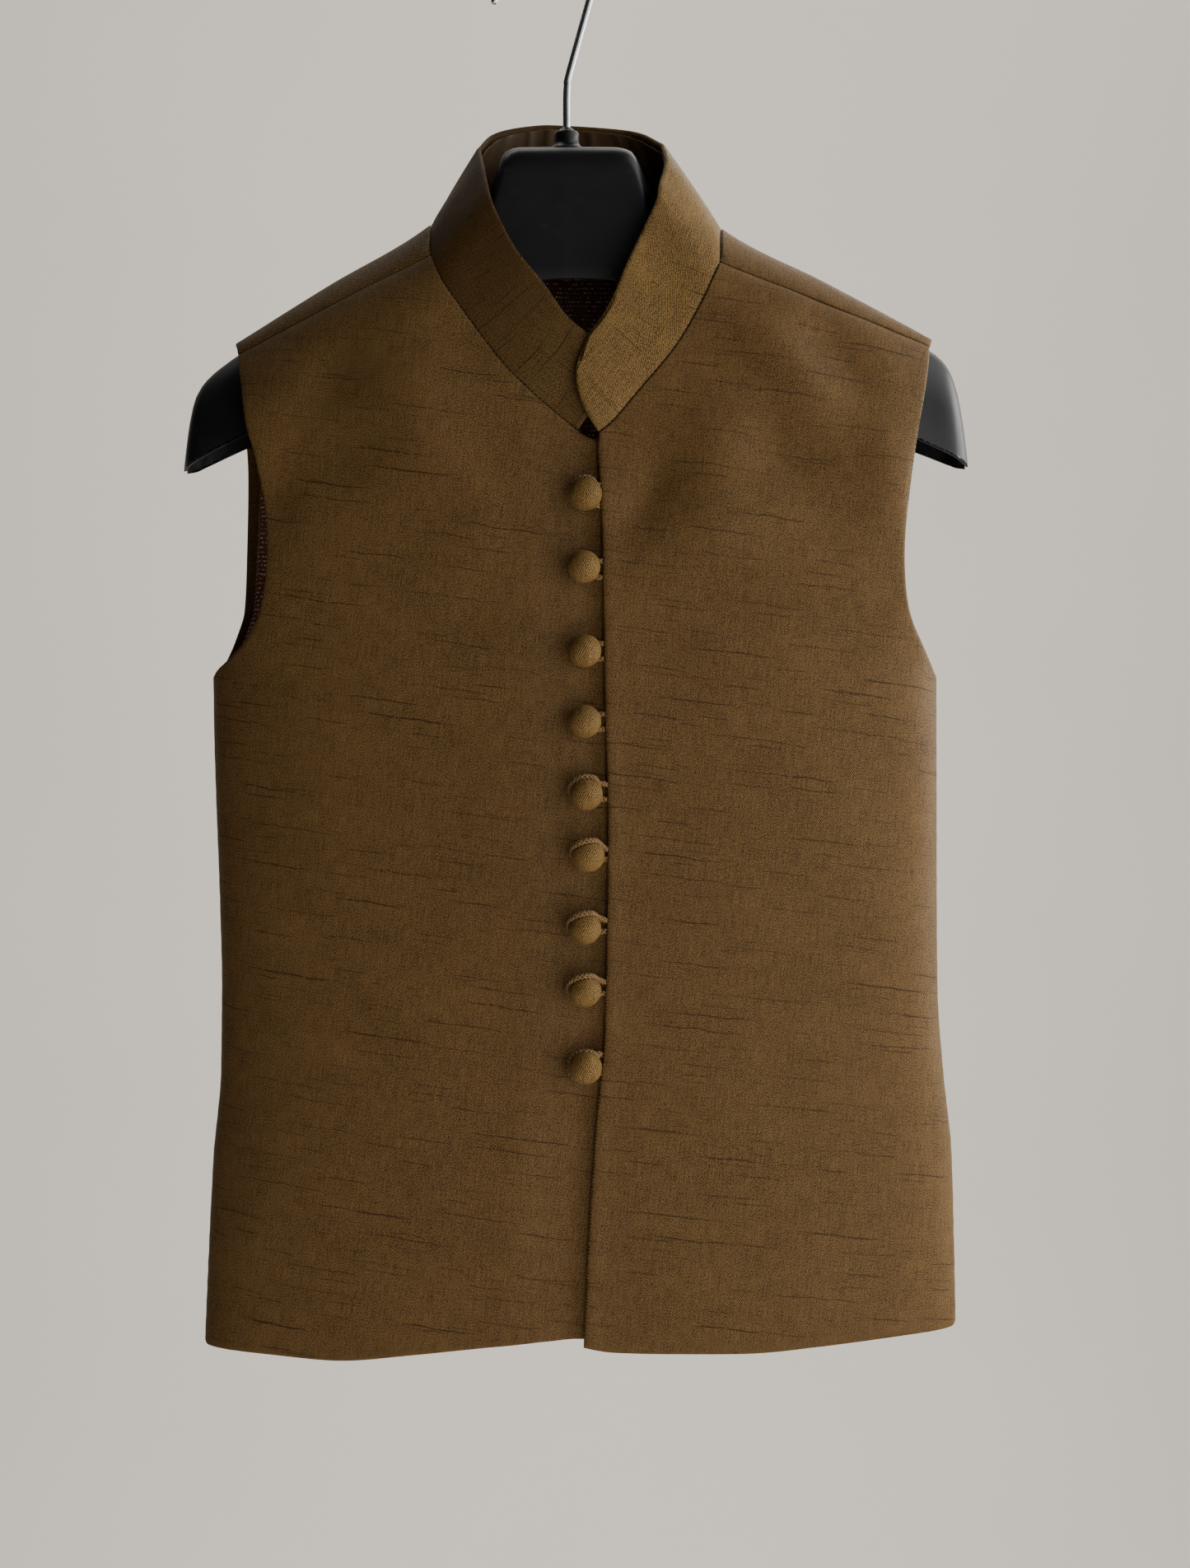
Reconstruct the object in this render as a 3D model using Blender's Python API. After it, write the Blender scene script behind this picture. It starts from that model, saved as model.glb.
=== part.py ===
"""A child's sherwani waistcoat of slub silk, on the moulded half-form hanger that holds it.

Sizes are in millimetres, and the meshes are made in metres. X runs to the wearer's left, Y from
front to back and Z up. The origin is the inner top of the hook, where a rail bears.

All cloth follows one worn form: oval sections below the arms, and an arch over the shoulders.
A place on the form is (x, z, face), where face is "front" or "back" of the shoulder ridge.
Left and right are the wearer's, so the left front is at +X and laps over the right one.
"""
import math

import bmesh
import bpy
from mathutils import Vector

MM = 0.001

MID_X = 14.5
ROUNDNESS = 2.4
ARCH = 45.0
UNDERARM_Z = -337.0
VENT_TOP_Z = -513.0
HEM_Z = -632.0

FRONT_WALL = 2.0
BACK_WALL = 1.5
LINING_WALL = 1.0
COLLAR_WALL = 2.2
STRIP_WALL = 0.8
HANGER_WALL = 2.2
SEAM_GAP = 0.35
NECK_GAP = 0.6
SIDE_GAP = 0.2
LAYER_GAP = 0.35
LINING_ROWS_SHORT = 2
EDGE_SHARE = 0.4
EDGE_DROP = 0.9

LAP_TUCK = 2.4
LAP_RAMP = (34.0, 14.0)
HEM_CORNER = 10.0
VENT_SPREAD = 1.6

BUTTON_RADIUS = 7.1
BUTTON_STANDOFF = 8.8
SHANK_RADIUS = 2.0
CORD_RADIUS = 1.35
CORD_LIFT = 1.75
CORD_END_GAP = 1.0
LOOP_CLEAR = 0.45
LOOP_STEM = 1.3
LOOP_SPRING = 1.5
LOOP_SWEEP = (42, 312)
LOOP_WAYS = 12
# Shares of the spring that lift a loop's upper stem and draw it in.
LOOP_LIFT = 0.4
LOOP_DRAW = 0.3

WIRE_RADIUS = 1.65
HOOK_RADIUS = 22.6
HANGER_CENTRE_X = 11.0
SHANK_X = 10.0

FRONT_COLUMNS = 13
FRONT_SPREAD = 1.15
MIDDLE_LEVELS = (-311.0, -279.0, -255.0, -240.0)
NECK_STEPS = 9
BACK_NECK_STEPS = 8
RIDGE_STEPS = 3
SHOULDER_STEPS = 5
ARCH_ROWS = 9
COLLAR_ROWS = 4
BODY_LEVELS = (0, 0.05, 0.14, 0.27, 0.41, 0.55, 0.69, 0.84, 0.95, 1)
BACK_ARMHOLE_LEVELS = (0.06, 0.15, 0.27, 0.42, 0.6, 0.8, 1)


class Table:
    """Rows with named columns, read smoothly between rows by the first column."""

    def __init__(self, names, *rows):
        self.columns = dict(zip(names.split(), zip(*sorted(rows))))
        self.key = names.split()[0]

    def read(self, column, at):
        xs, ys = self.columns[self.key], self.columns[column]
        if at <= xs[0]:
            return ys[0]
        if at >= xs[-1]:
            return ys[-1]
        i = max(k for k in range(len(xs) - 1) if xs[k] <= at)
        width = xs[i + 1] - xs[i]
        t = (at - xs[i]) / width
        rise = [(ys[k + 1] - ys[k]) / (xs[k + 1] - xs[k]) for k in range(len(xs) - 1)]

        def slope(k):
            if k == 0:
                return rise[0]
            if k == len(rise):
                return rise[-1]
            if rise[k - 1] * rise[k] <= 0:
                return 0.0
            return 2 * rise[k - 1] * rise[k] / (rise[k - 1] + rise[k])

        a, b = slope(i) * width, slope(i + 1) * width
        low, high = ys[i], ys[i + 1]
        return (
            low * (1 + 2 * t) * (1 - t) ** 2
            + a * t * (1 - t) ** 2
            + high * t * t * (3 - 2 * t)
            + b * t * t * (t - 1)
        )


# The worn form, a row for each section: the sides' X, and how far the front and back stand out.
BODY = Table(
    "z left right front back",
    (-90, -162, 191, 36, 36),
    (-190, -162, 191, 38, 37),
    (-250, -161, 190, 40, 38),
    (-300, -156, 184, 40.5, 38),
    (-337, -148.5, 176, 40.5, 38),
    (-365, -148, 176, 40.5, 38),
    (-440, -145.4, 176.2, 40.5, 37),
    (-477, -144.6, 176.5, 40, 36),
    (-513, -145, 179, 39.5, 35),
    (-550, -148.3, 182.8, 39, 34),
    (-587, -150.2, 183.9, 38.5, 33),
    (-640, -152.5, 184.9, 38, 32),
)
RIDGE = Table(
    "x z",
    (-165, -203),
    (-139, -187.5),
    (-96.5, -161.3),
    (-52, -135),
    (-25, -108),
    (14.5, -90),
    (54, -108),
    (81, -136.8),
    (125.5, -159.6),
    (173.6, -185),
    (195, -197),
)
# The lapping edge of the left front.
LAP_EDGE = Table(
    "z x",
    (-640, 17.5),
    (-586, 19.8),
    (-532, 23.3),
    (-491, 26.9),
    (-402, 28.3),
    (-345, 26.9),
    (-277, 25.8),
    (-232, 23.4),
)
UNDERLAP_EDGE = Table("z x", (-640, 31.0), (-500, 40.0), (-337, 40.5), (-270, 39.0), (-250, 35.0), (-238, 26.0))
LEFT_HEM = Table(
    "x z", (17, -629.5), (30, -632), (56, -632.8), (88, -633), (120, -630.8), (160, -627.5), (190, -626)
)
RIGHT_HEM = Table("x z", (-155, -634.5), (-120, -635.5), (-92, -636.8), (-56, -633.5), (-20, -629.6), (35, -625))
BACK_HEM = Table("x z", (-155, -632), (15, -629), (190, -630))
# Armhole edges from underarm to shoulder seam, as (x, z) on the front's face.
LEFT_ARMHOLE = (
    (176.2, -337),
    (174.2, -333.5),
    (169.2, -324.4),
    (163.3, -312.6),
    (160.4, -300.8),
    (159.2, -284),
    (159.6, -266.6),
    (161.5, -250.9),
    (165.1, -230.6),
    (168.8, -212.4),
    (171.2, -198.1),
    (172.4, -189.3),
)
RIGHT_ARMHOLE = (
    (-148.5, -337),
    (-146.5, -334),
    (-140.6, -329.7),
    (-132.9, -322.4),
    (-126.3, -312.3),
    (-123.5, -301.9),
    (-121.9, -289.3),
    (-121.9, -275.3),
    (-123.8, -257.1),
    (-127.3, -239.1),
    (-130.9, -226.8),
    (-133.7, -208.4),
    (-136.4, -193.4),
)
BACK_ARMHOLE = Table(
    "z left right",
    (-337, -148.5, 176),
    (-329, -145, 173.5),
    (-316, -140.5, 169),
    (-306, -137.8, 166.2),
    (-290, -137, 164.8),
    (-245, -136.3, 166),
    (-210, -138.3, 171.5),
    (-185, -139, 174.5),
)
# The neckline seam on the fronts, from the lap up to the shoulder seam, as (x, z).
RIGHT_NECKLINE = (
    (15.5, -230.4),
    (-3.8, -214.6),
    (-18.8, -199.5),
    (-36.9, -175.1),
    (-44.2, -164.4),
    (-49.4, -152.4),
)
LEFT_NECKLINE = (
    (24.4, -231.8),
    (30.5, -226.8),
    (41.6, -213.5),
    (56.6, -195.5),
    (67.8, -176.9),
    (77.5, -156.1),
)
BACK_NECK_HALF_WIDTH = 65.0
BACK_NECK_DEPTH = 33.0
# The collar's upper edge in five stretches, as (x, y, z), from the lapped end to the lapping end.
COLLAR_TOP_RIGHT = (
    (21.5, -38.3, -190),
    (10.5, -38.8, -181.1),
    (0.4, -38.4, -166.8),
    (-11.8, -37, -151.4),
    (-20.8, -33.2, -133.5),
    (-24.1, -29, -124.1),
)
COLLAR_TOP_RIGHT_SIDE = ((-24.1, -29, -124.1), (-27.2, -14, -109.5), (-29.8, 4, -97.5))
COLLAR_TOP_BACK = (
    (-29.8, 4, -97.5),
    (-23.2, 18, -87.4),
    (-4.7, 28.5, -81.6),
    (12, 30.5, -81.3),
    (33.2, 27, -83.6),
    (44.4, 19, -87.1),
    (53.5, 4, -95.5),
)
COLLAR_TOP_LEFT_SIDE = ((53.5, 4, -95.5), (54.5, -13, -107.2), (51.3, -28, -121.4))
COLLAR_TOP_LEFT = (
    (51.3, -28, -121.4),
    (49, -32.8, -131.1),
    (37.2, -39.2, -157.4),
    (29.4, -41.3, -176),
    (21.2, -41.8, -188.4),
)
# The collar's two rounded ends, from its seam to its upper edge.
COLLAR_END_UNDER = (
    (15.5, -37.2, -230.4),
    (20.5, -37.4, -223),
    (24, -37.6, -214),
    (25, -37.8, -206),
    (24.5, -38, -198),
    (21.5, -38.3, -190),
)
COLLAR_END_OVER = (
    (24.4, -39.9, -231.8),
    (19.4, -41.2, -224.5),
    (15.5, -41.5, -214.6),
    (14.4, -41.7, -206.4),
    (16.2, -41.8, -198.6),
    (21.2, -41.8, -188.4),
)
END_REACH = 4
STRIP_LEVELS = (0.18, 0.45, 0.7, 0.93)
GATHERS = 13
GATHER_DEPTH = 1.1
LOOP_STEPS = 17
LOOP_SIDES = 5
BUTTON_RINGS = 6
BUTTON_SIDES = 10
SOCKET_SIDES = 16
WIRE_SIDES = 8
HOOK_STEPS = 20

# Soft folds in the cloth: the middle, length, angle from level, width across and depth inwards.
FOLDS = Table(
    "number x z face length angle width depth",
    (0, -82, -238, "front", 34, 12, 15, 4.5),
    (1, 58, -276, "front", 26, -35, 13, 4.0),
    (2, 100, -262, "front", 40, 18, 17, -2.5),
    (3, -60, -420, "front", 110, 78, 34, 2.0),
    (4, 105, -470, "front", 130, 100, 36, 1.8),
    (5, -70, -590, "front", 80, 84, 24, -2.2),
    (6, 90, -590, "front", 80, 96, 26, -2.0),
    (7, -45, -250, "back", 60, 20, 20, 3.0),
    (8, 75, -255, "back", 60, -22, 20, 3.0),
    (9, -50, -470, "back", 150, 82, 34, 2.4),
    (10, 80, -480, "back", 150, 99, 36, 2.2),
    (11, 15, -560, "back", 120, 90, 40, -2.0),
)

# Each ball's place, how far its loop rides over its top and along its side, and where the loop's
# two ends leave the lapping edge, above and below the ball's middle.
BUTTONS = Table(
    "number x z over along upper lower",
    (1, 18.7, -259.7, 0.1, 0.42, 4.6, -4.2),
    (2, 18.0, -291.0, 0.03, 0.0, 3.0, -4.0),
    (3, 18.4, -327.2, 0.03, 0.0, 3.4, -3.2),
    (4, 18.4, -357.7, 0.03, 0.0, 3.4, -3.2),
    (5, 19.1, -389.0, 0.75, 0.0, 4.0, -2.2),
    (6, 19.8, -415.6, 1.0, 0.0, 2.6, -1.6),
    (7, 18.4, -446.8, 1.0, 0.0, 2.9, -1.6),
    (8, 18.4, -473.8, 0.96, 0.0, 3.2, -1.6),
    (9, 18.7, -507.2, 0.0, 1.0, 5.2, -3.0),
)
# How far a loop stands in front of its ball's middle, at angles from its right side over its top.
LOOP_RIDE = Table(
    "angle over along",
    (35, -4.4, -5.2),
    (50, -1.4, -3.0),
    (66, 2.2, -0.8),
    (84, 4.4, 0.6),
    (102, 4.9, 0.2),
    (130, 4.0, -1.2),
    (154, 1.0, -2.4),
    (180, -3.6, -3.2),
    (212, -6.4, -4.0),
    (245, -7.05, -5.4),
    (290, -7.05, -7.05),
    (315, -7.05, -7.05),
)

# The hanger's stations along X: its top and low edge, half depth, height of the arch and squareness.
HANGER = Table(
    "x top low depth arch square",
    (-161.2, -240.5, -244.8, 4, 20, 2),
    (-160.2, -233, -244.2, 7.5, 24, 2),
    (-158.6, -221, -243.4, 10.5, 30, 2),
    (-156, -210.5, -242, 13, 34, 2),
    (-151, -203, -239.5, 15, 38, 2),
    (-144, -197, -236, 16, 40, 2),
    (-137, -192, -232.6, 16.8, 42, 2),
    (-96.5, -166, -213.5, 26, 43, 2),
    (-60, -144.8, -196, 29, 43, 2),
    (-44, -136, -189, 27, 38, 2.1),
    (-32, -128.5, -184, 23, 32, 2.4),
    (-24, -119, -181, 20.5, 24, 2.8),
    (-20, -108, -179, 20.5, 19, 3.2),
    (-17, -102.8, -176.5, 20.5, 17, 3.4),
    (-11, -101, -170, 20.5, 16, 3.6),
    (-1, -100.9, -162.8, 20.5, 16, 3.6),
    (11, -100.8, -161.8, 20.5, 16, 3.6),
    (31, -100.9, -162.6, 20.5, 16, 3.6),
    (35, -101.4, -168, 20.5, 16, 3.6),
    (39, -102.8, -175, 20.5, 17, 3.4),
    (42.5, -108, -179, 20.5, 19, 3.2),
    (47, -119, -181.5, 20.5, 24, 2.8),
    (57, -128.5, -186, 23, 32, 2.4),
    (71, -136.7, -192, 27, 38, 2.1),
    (87, -145.6, -199, 29, 43, 2),
    (125.5, -164.4, -216.5, 26.5, 43, 2),
    (172, -189.4, -235, 17, 42, 2),
    (178, -194, -237.5, 16, 40, 2),
    (182, -199.5, -239.2, 15, 38, 2),
    (185, -208, -240.4, 13, 34, 2),
    (187.4, -221, -241.6, 10.5, 30, 2),
    (188.8, -231, -242.2, 7.5, 24, 2),
    (189.8, -238.5, -242.8, 4, 20, 2),
)
HANGER_STRAIGHT = 0.25
HANGER_SECTION_STEPS = 12
HANGER_STATION = 19
HANGER_WALL_SHARE = 0.22
HANGER_ARCH_SHARE = 0.98
# The back wall of the neck block ends higher than its front: how much, and between which X.
BLOCK_BACK_LIFT = 22.0
BLOCK_EDGES = ((-52.0, -14.0), (42.0, 80.0))

SOCKET_PROFILE = (
    (0.0, -100.3),
    (7.6, -100.3),
    (7.9, -99.6),
    (6.2, -98.0),
    (5.5, -96.6),
    (5.3, -92.4),
    (3.4, -91.4),
    (2.4, -90.4),
    (2.0, -90.4),
    (2.0, -96.0),
    (0.0, -96.0),
)
WIRE_FOOT_Z = -95.5
WIRE_BEND = ((-76.5, 0.0), (-71.0, 6.0), (-65.5, 12.5))
HOOK_LEAN = math.radians(14.8)
HOOK_SWEEP = math.radians(202)
HOOK_TIP = ((-22.4, -28.5), (-22.3, -31.8), (-22.6, -34.6))


def blend(low, high, at):
    """Rises smoothly from 0 at low to 1 at high."""
    t = min(1.0, max(0.0, (at - low) / (high - low)))
    return t * t * (3 - 2 * t)


def mix(a, b, t):
    return a + (b - a) * t


def even_points(points, steps):
    """Points at equal spacing along a smooth curve through the given ones."""
    given = [Vector(p) for p in points]
    ends = [given[0] * 2 - given[1]] + given + [given[-1] * 2 - given[-2]]
    fine = []
    pieces = 12
    for i in range(1, len(ends) - 2):
        before, start, end, after = ends[i - 1 : i + 3]
        for k in range(pieces):
            t = k / pieces
            fine.append(
                0.5
                * (
                    2 * start
                    + (end - before) * t
                    + (2 * before - 5 * start + 4 * end - after) * t**2
                    + (3 * start - before - 3 * end + after) * t**3
                )
            )
    fine.append(given[-1])
    along = [0.0]
    for a, b in zip(fine, fine[1:]):
        along.append(along[-1] + (b - a).length)
    result, i = [], 0
    for k in range(steps + 1):
        want = along[-1] * k / steps
        while i < len(along) - 2 and along[i + 1] < want:
            i += 1
        t = (want - along[i]) / max(along[i + 1] - along[i], 1e-9)
        result.append(fine[i].lerp(fine[i + 1], min(1.0, t)))
    return result


def half_width(x, z):
    side = BODY.read("left" if x < MID_X else "right", z)
    return abs(side - MID_X)


def rise_over_arch(x, z):
    """0 on the shoulder ridge, 1 where the cloth has turned to hang straight."""
    below = min(1.0, max(0.0, (RIDGE.read("z", x) - z) / ARCH))
    return 1 - (1 - below) ** 2


def fold_depth(x, z, face):
    total = 0.0
    rows = FOLDS.columns
    for i in range(len(rows["x"])):
        if rows["face"][i] != face:
            continue
        turn = math.radians(rows["angle"][i])
        dx, dz = x - rows["x"][i], z - rows["z"][i]
        along = (dx * math.cos(turn) + dz * math.sin(turn)) / rows["length"][i]
        across = (-dx * math.sin(turn) + dz * math.cos(turn)) / rows["width"][i]
        total += rows["depth"][i] * math.exp(-(across**2) - along**4 - along**2)
    return total


def on_form(x, z, face):
    """The point of the worn form at (x, z) on the front or the back."""
    share = min(1.0, abs(x - MID_X) / half_width(x, z))
    depth = BODY.read(face, z) * (1 - share**ROUNDNESS) ** (1 / ROUNDNESS)
    depth *= math.sqrt(rise_over_arch(x, z))
    depth = max(0.0, depth - fold_depth(x, z, face) * share_of_fold(depth))
    return Vector((x, -depth if face == "front" else depth, z))


def share_of_fold(depth):
    """Folds fade out where the cloth turns round the side or over the shoulder."""
    return blend(12, 26, depth)


def form_value(p):
    """Below 0 inside the worn form and above 0 outside."""
    x, y, z = p
    share = abs(x - MID_X) / half_width(x, z)
    inside = 1 - share**ROUNDNESS
    inside = math.copysign(abs(inside) ** (2 / ROUNDNESS), inside)
    depth = BODY.read("front" if y < 0 else "back", z)
    return (y / depth) ** 2 - rise_over_arch(x, z) * inside


def outward(p):
    """The unit vector that points out of the worn form at p."""
    step = 0.01
    slope = []
    for axis in range(3):
        move = Vector([step if k == axis else 0.0 for k in range(3)])
        slope.append(form_value(p + move) - form_value(p - move))
    return Vector(slope).normalized()


def over_shoulder(x, turn):
    """The form's point at an angle past the ridge: 90 degrees hangs straight, below 0 is in front."""
    z = RIDGE.read("z", x) - ARCH * (1 - math.cos(turn))
    return on_form(x, z, "front" if turn < 0 else "back")


def turn_at(x, z):
    return math.acos(max(-1.0, 1 - max(0.0, RIDGE.read("z", x) - z) / ARCH))


def arch_place(p):
    """A point near the form above the arch's foot, as (x, turn)."""
    top = RIDGE.read("z", p.x)
    full = abs(on_form(p.x, top - ARCH, "front" if p.y < 0 else "back").y)
    return p.x, math.atan2(p.y / full, 1 - (top - p.z) / ARCH)


def x_angle(x, z):
    """The place of x round an oval section, from -90 to 90 degrees."""
    return math.asin(max(-1.0, min(1.0, (x - MID_X) / half_width(x, z))))


def x_from_angle(angle, z):
    side = MID_X + math.copysign(1.0, angle)
    return MID_X + half_width(side, z) * math.sin(angle)


def body_place(angle, level, hem, face):
    """(x, z) at an angle round the body, level of the way from the hem up to the underarm."""
    z = mix(HEM_Z, UNDERARM_Z, level)
    for _ in range(3):
        x = x_from_angle(angle, z)
        low = hem.read("z", x)
        low += hem_corner_rise(on_form(x, low, face))
        z = mix(low, UNDERARM_Z, level)
    return x_from_angle(angle, z), z


def side_gap(z):
    """Half the gap between front and back along the side, which widens down the open vent."""
    return SIDE_GAP + VENT_SPREAD * blend(VENT_TOP_Z, -635, z)


def hem_corner_rise(point):
    """How far the rounded corner beside the vent lifts the hem at a point of the hem."""
    side = BODY.read("left" if point.x < MID_X else "right", point.z)
    away = math.hypot(point.x - side, point.y)
    if away >= HEM_CORNER:
        return 0.0
    return HEM_CORNER - math.sqrt(HEM_CORNER**2 - (HEM_CORNER - away) ** 2)


def lap_tuck(x, z):
    """How far the right front lies behind the form, under the left front's lapping edge."""
    edge = LAP_EDGE.read("x", z)
    return LAP_TUCK * blend(edge - LAP_RAMP[0], edge - LAP_RAMP[1], x)


def make_material(name, colour, roughness, metallic=0.0):
    material = bpy.data.materials.new(name)
    material.use_nodes = True
    shader = material.node_tree.nodes["Principled BSDF"]
    shader.inputs["Base Color"].default_value = (*colour, 1)
    shader.inputs["Roughness"].default_value = roughness
    shader.inputs["Metallic"].default_value = metallic
    return material


def make_object(name, points, faces, material):
    """A closed body in metres, turned so that its faces point out."""
    mesh = bpy.data.meshes.new(name)
    mesh.from_pydata([Vector(p) * MM for p in points], [], faces)
    work = bmesh.new()
    work.from_mesh(mesh)
    if work.calc_volume(signed=True) < 0:
        bmesh.ops.reverse_faces(work, faces=work.faces)
    work.to_mesh(mesh)
    work.free()
    mesh.materials.append(material)
    mesh.shade_smooth()
    mesh.set_sharp_from_angle(angle=math.radians(50))
    thing = bpy.data.objects.new(name, mesh)
    bpy.context.scene.collection.objects.link(thing)
    return thing


def grid_normals(rows, out_from=None):
    """Normals of a grid of points, by the differences to the neighbours."""
    normals = []
    last_row, last_column = len(rows) - 1, len(rows[0]) - 1
    for i, row in enumerate(rows):
        line = []
        for j in range(len(row)):
            up = rows[min(i + 1, last_row)][j] - rows[max(i - 1, 0)][j]
            across = row[min(j + 1, last_column)] - row[max(j - 1, 0)]
            line.append(up.cross(across).normalized())
        normals.append(line)
    if out_from is not None:
        i, j = last_row // 2, last_column // 2
        if normals[i][j].dot(rows[i][j] - Vector(out_from)) < 0:
            normals = [[-n for n in line] for line in normals]
    return normals


def wall(name, outer, normals, thickness, material):
    """A sheet of cloth or plastic: a grid of outer points, and the same moved in by the thickness.

    The thickness is one number, or one for each row. All sheets are split along the same diagonals,
    so that layers stay parallel.
    """
    height, width = len(outer), len(outer[0])
    each = thickness if isinstance(thickness, list) else [thickness] * height
    points = [p for row in outer for p in row]
    for row, line, thick in zip(outer, normals, each):
        points += [p - n * thick for p, n in zip(row, line)]
    back = height * width
    faces = []
    for i in range(height - 1):
        for j in range(width - 1):
            a, b = i * width + j, i * width + j + 1
            c, d = b + width, a + width
            for corner in ([a, b, c], [a, c, d]):
                faces += [corner, [back + k for k in reversed(corner)]]
    rim = [j for j in range(width)]
    rim += [i * width + width - 1 for i in range(1, height)]
    rim += [(height - 1) * width + j for j in range(width - 2, -1, -1)]
    rim += [i * width for i in range(height - 2, 0, -1)]
    for a, b in zip(rim, rim[1:] + rim[:1]):
        faces.append([b, a, back + a, back + b])
    return make_object(name, points, faces, material)


def tube(name, path, radius, sides, material):
    """A round cord or wire along a path that lies nearly in the plane of the fronts."""
    points, faces = [], []
    for i, p in enumerate(path):
        ahead = (path[min(i + 1, len(path) - 1)] - path[max(i - 1, 0)]).normalized()
        across = ahead.cross(Vector((0, 1, 0))).normalized()
        out = across.cross(ahead)
        for k in range(sides):
            angle = 2 * math.pi * k / sides
            points.append(p + (across * math.cos(angle) + out * math.sin(angle)) * radius)
    for i in range(len(path) - 1):
        for k in range(sides):
            a, b = i * sides + k, i * sides + (k + 1) % sides
            faces.append([a, b, b + sides, a + sides])
    faces.append(list(reversed(range(sides))))
    faces.append([(len(path) - 1) * sides + k for k in range(sides)])
    return make_object(name, points, faces, material)


def turned(name, profile, base, axis, sides, material):
    """A solid of revolution: profile is (radius, height) from pole to pole, about axis from base."""
    across = axis.orthogonal().normalized()
    out = axis.cross(across)
    points = [base + axis * profile[0][1]]
    rings = profile[1:-1]
    for radius, height in rings:
        for k in range(sides):
            angle = 2 * math.pi * k / sides
            points.append(base + axis * height + (across * math.cos(angle) + out * math.sin(angle)) * radius)
    points.append(base + axis * profile[-1][1])
    last = len(points) - 1
    faces = []
    for k in range(sides):
        after = (k + 1) % sides
        faces.append([0, 1 + after, 1 + k])
        for i in range(len(rings) - 1):
            a, b = 1 + i * sides + k, 1 + i * sides + after
            faces.append([a, b, b + sides, a + sides])
        top = 1 + (len(rings) - 1) * sides
        faces.append([top + k, top + after, last])
    return make_object(name, points, faces, material)


def move_off(line, amount, towards):
    """A flat outline of (x, z) points moved sideways by amount, on the side where towards lies."""
    moved = []
    for i, p in enumerate(line):
        along = line[min(i + 1, len(line) - 1)] - line[max(i - 1, 0)]
        side = Vector((along.y, -along.x)).normalized()
        if side.dot(Vector(towards) - p) < 0:
            side = -side
        moved.append(p + side * amount)
    return moved


def front_panel(name, inner_edge, hem, inner_neck, armhole, material, tucked):
    """A front: rows from the hem up to the shoulder seam, columns from the middle to the side."""
    is_left = inner_neck[-1].x > MID_X
    side = "right" if is_left else "left"
    rows = []
    for level in BODY_LEVELS:
        z = mix(HEM_Z, UNDERARM_Z, level)
        inner, outer = inner_edge.read("x", z), BODY.read(side, z)
        line = []
        for k in range(FRONT_COLUMNS + 1):
            share = (k / FRONT_COLUMNS) ** FRONT_SPREAD
            angle = mix(x_angle(inner, z), x_angle(outer, z), share)
            line.append(body_place(angle, level, hem, "front"))
        rows.append(line)
    inner_points = [Vector((inner_edge.read("x", z), z)) for z in MIDDLE_LEVELS] + list(inner_neck)
    steps = len(inner_points)
    outer_points = even_points(armhole, steps)[1:]
    for inner, outer in zip(inner_points, outer_points):
        line = []
        for k in range(FRONT_COLUMNS + 1):
            share = (k / FRONT_COLUMNS) ** FRONT_SPREAD
            x, z = inner.x, inner.y
            for _ in range(3):
                angle = mix(x_angle(inner.x, inner.y), x_angle(outer.x, outer.y), share)
                x = x_from_angle(angle, z)
                z = mix(inner.y, outer.y, (x - inner.x) / (outer.x - inner.x))
            line.append((x, z))
        line[0], line[-1] = tuple(inner), tuple(outer)
        rows.append(line)
    points, normals = [], []
    for line in rows:
        place = [on_form(x, z, "front") for x, z in line]
        for p in place:
            p.y = min(p.y, -side_gap(p.z))
        direction = [outward(p) for p in place]
        if tucked:
            place = [p - n * lap_tuck(p.x, p.z) for p, n in zip(place, direction)]
        points.append(place)
        normals.append(direction)
    wall(name, points, normals, FRONT_WALL, material)


def neck_places():
    """The neckline round the back as (x, z, face), from the right neck point to the left one."""
    right, left = Vector(RIGHT_NECKLINE[-1]), Vector(LEFT_NECKLINE[-1])
    places = []
    for k in range(RIDGE_STEPS):
        t = k / RIDGE_STEPS
        x = mix(right.x, MID_X - BACK_NECK_HALF_WIDTH, t)
        turn = turn_at(right.x, right.y) * (1 - t)
        places.append((x, RIDGE.read("z", x) - ARCH * (1 - math.cos(turn)), "front"))
    half_oval = []
    for k in range(25):
        angle = math.pi * k / 24
        half_oval.append((-BACK_NECK_HALF_WIDTH * math.cos(angle), BACK_NECK_DEPTH * math.sin(angle)))
    for p in even_points(half_oval, BACK_NECK_STEPS):
        x = MID_X + p.x
        top = RIDGE.read("z", x)
        full = on_form(x, top - ARCH, "back").y
        turn = math.asin(min(0.95, max(0.0, p.y / full)))
        places.append((x, top - ARCH * (1 - math.cos(turn)), "back"))
    for k in range(RIDGE_STEPS - 1, -1, -1):
        t = k / RIDGE_STEPS
        x = mix(left.x, MID_X + BACK_NECK_HALF_WIDTH, t)
        turn = turn_at(left.x, left.y) * (1 - t)
        places.append((x, RIDGE.read("z", x) - ARCH * (1 - math.cos(turn)), "front"))
    return places


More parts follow.
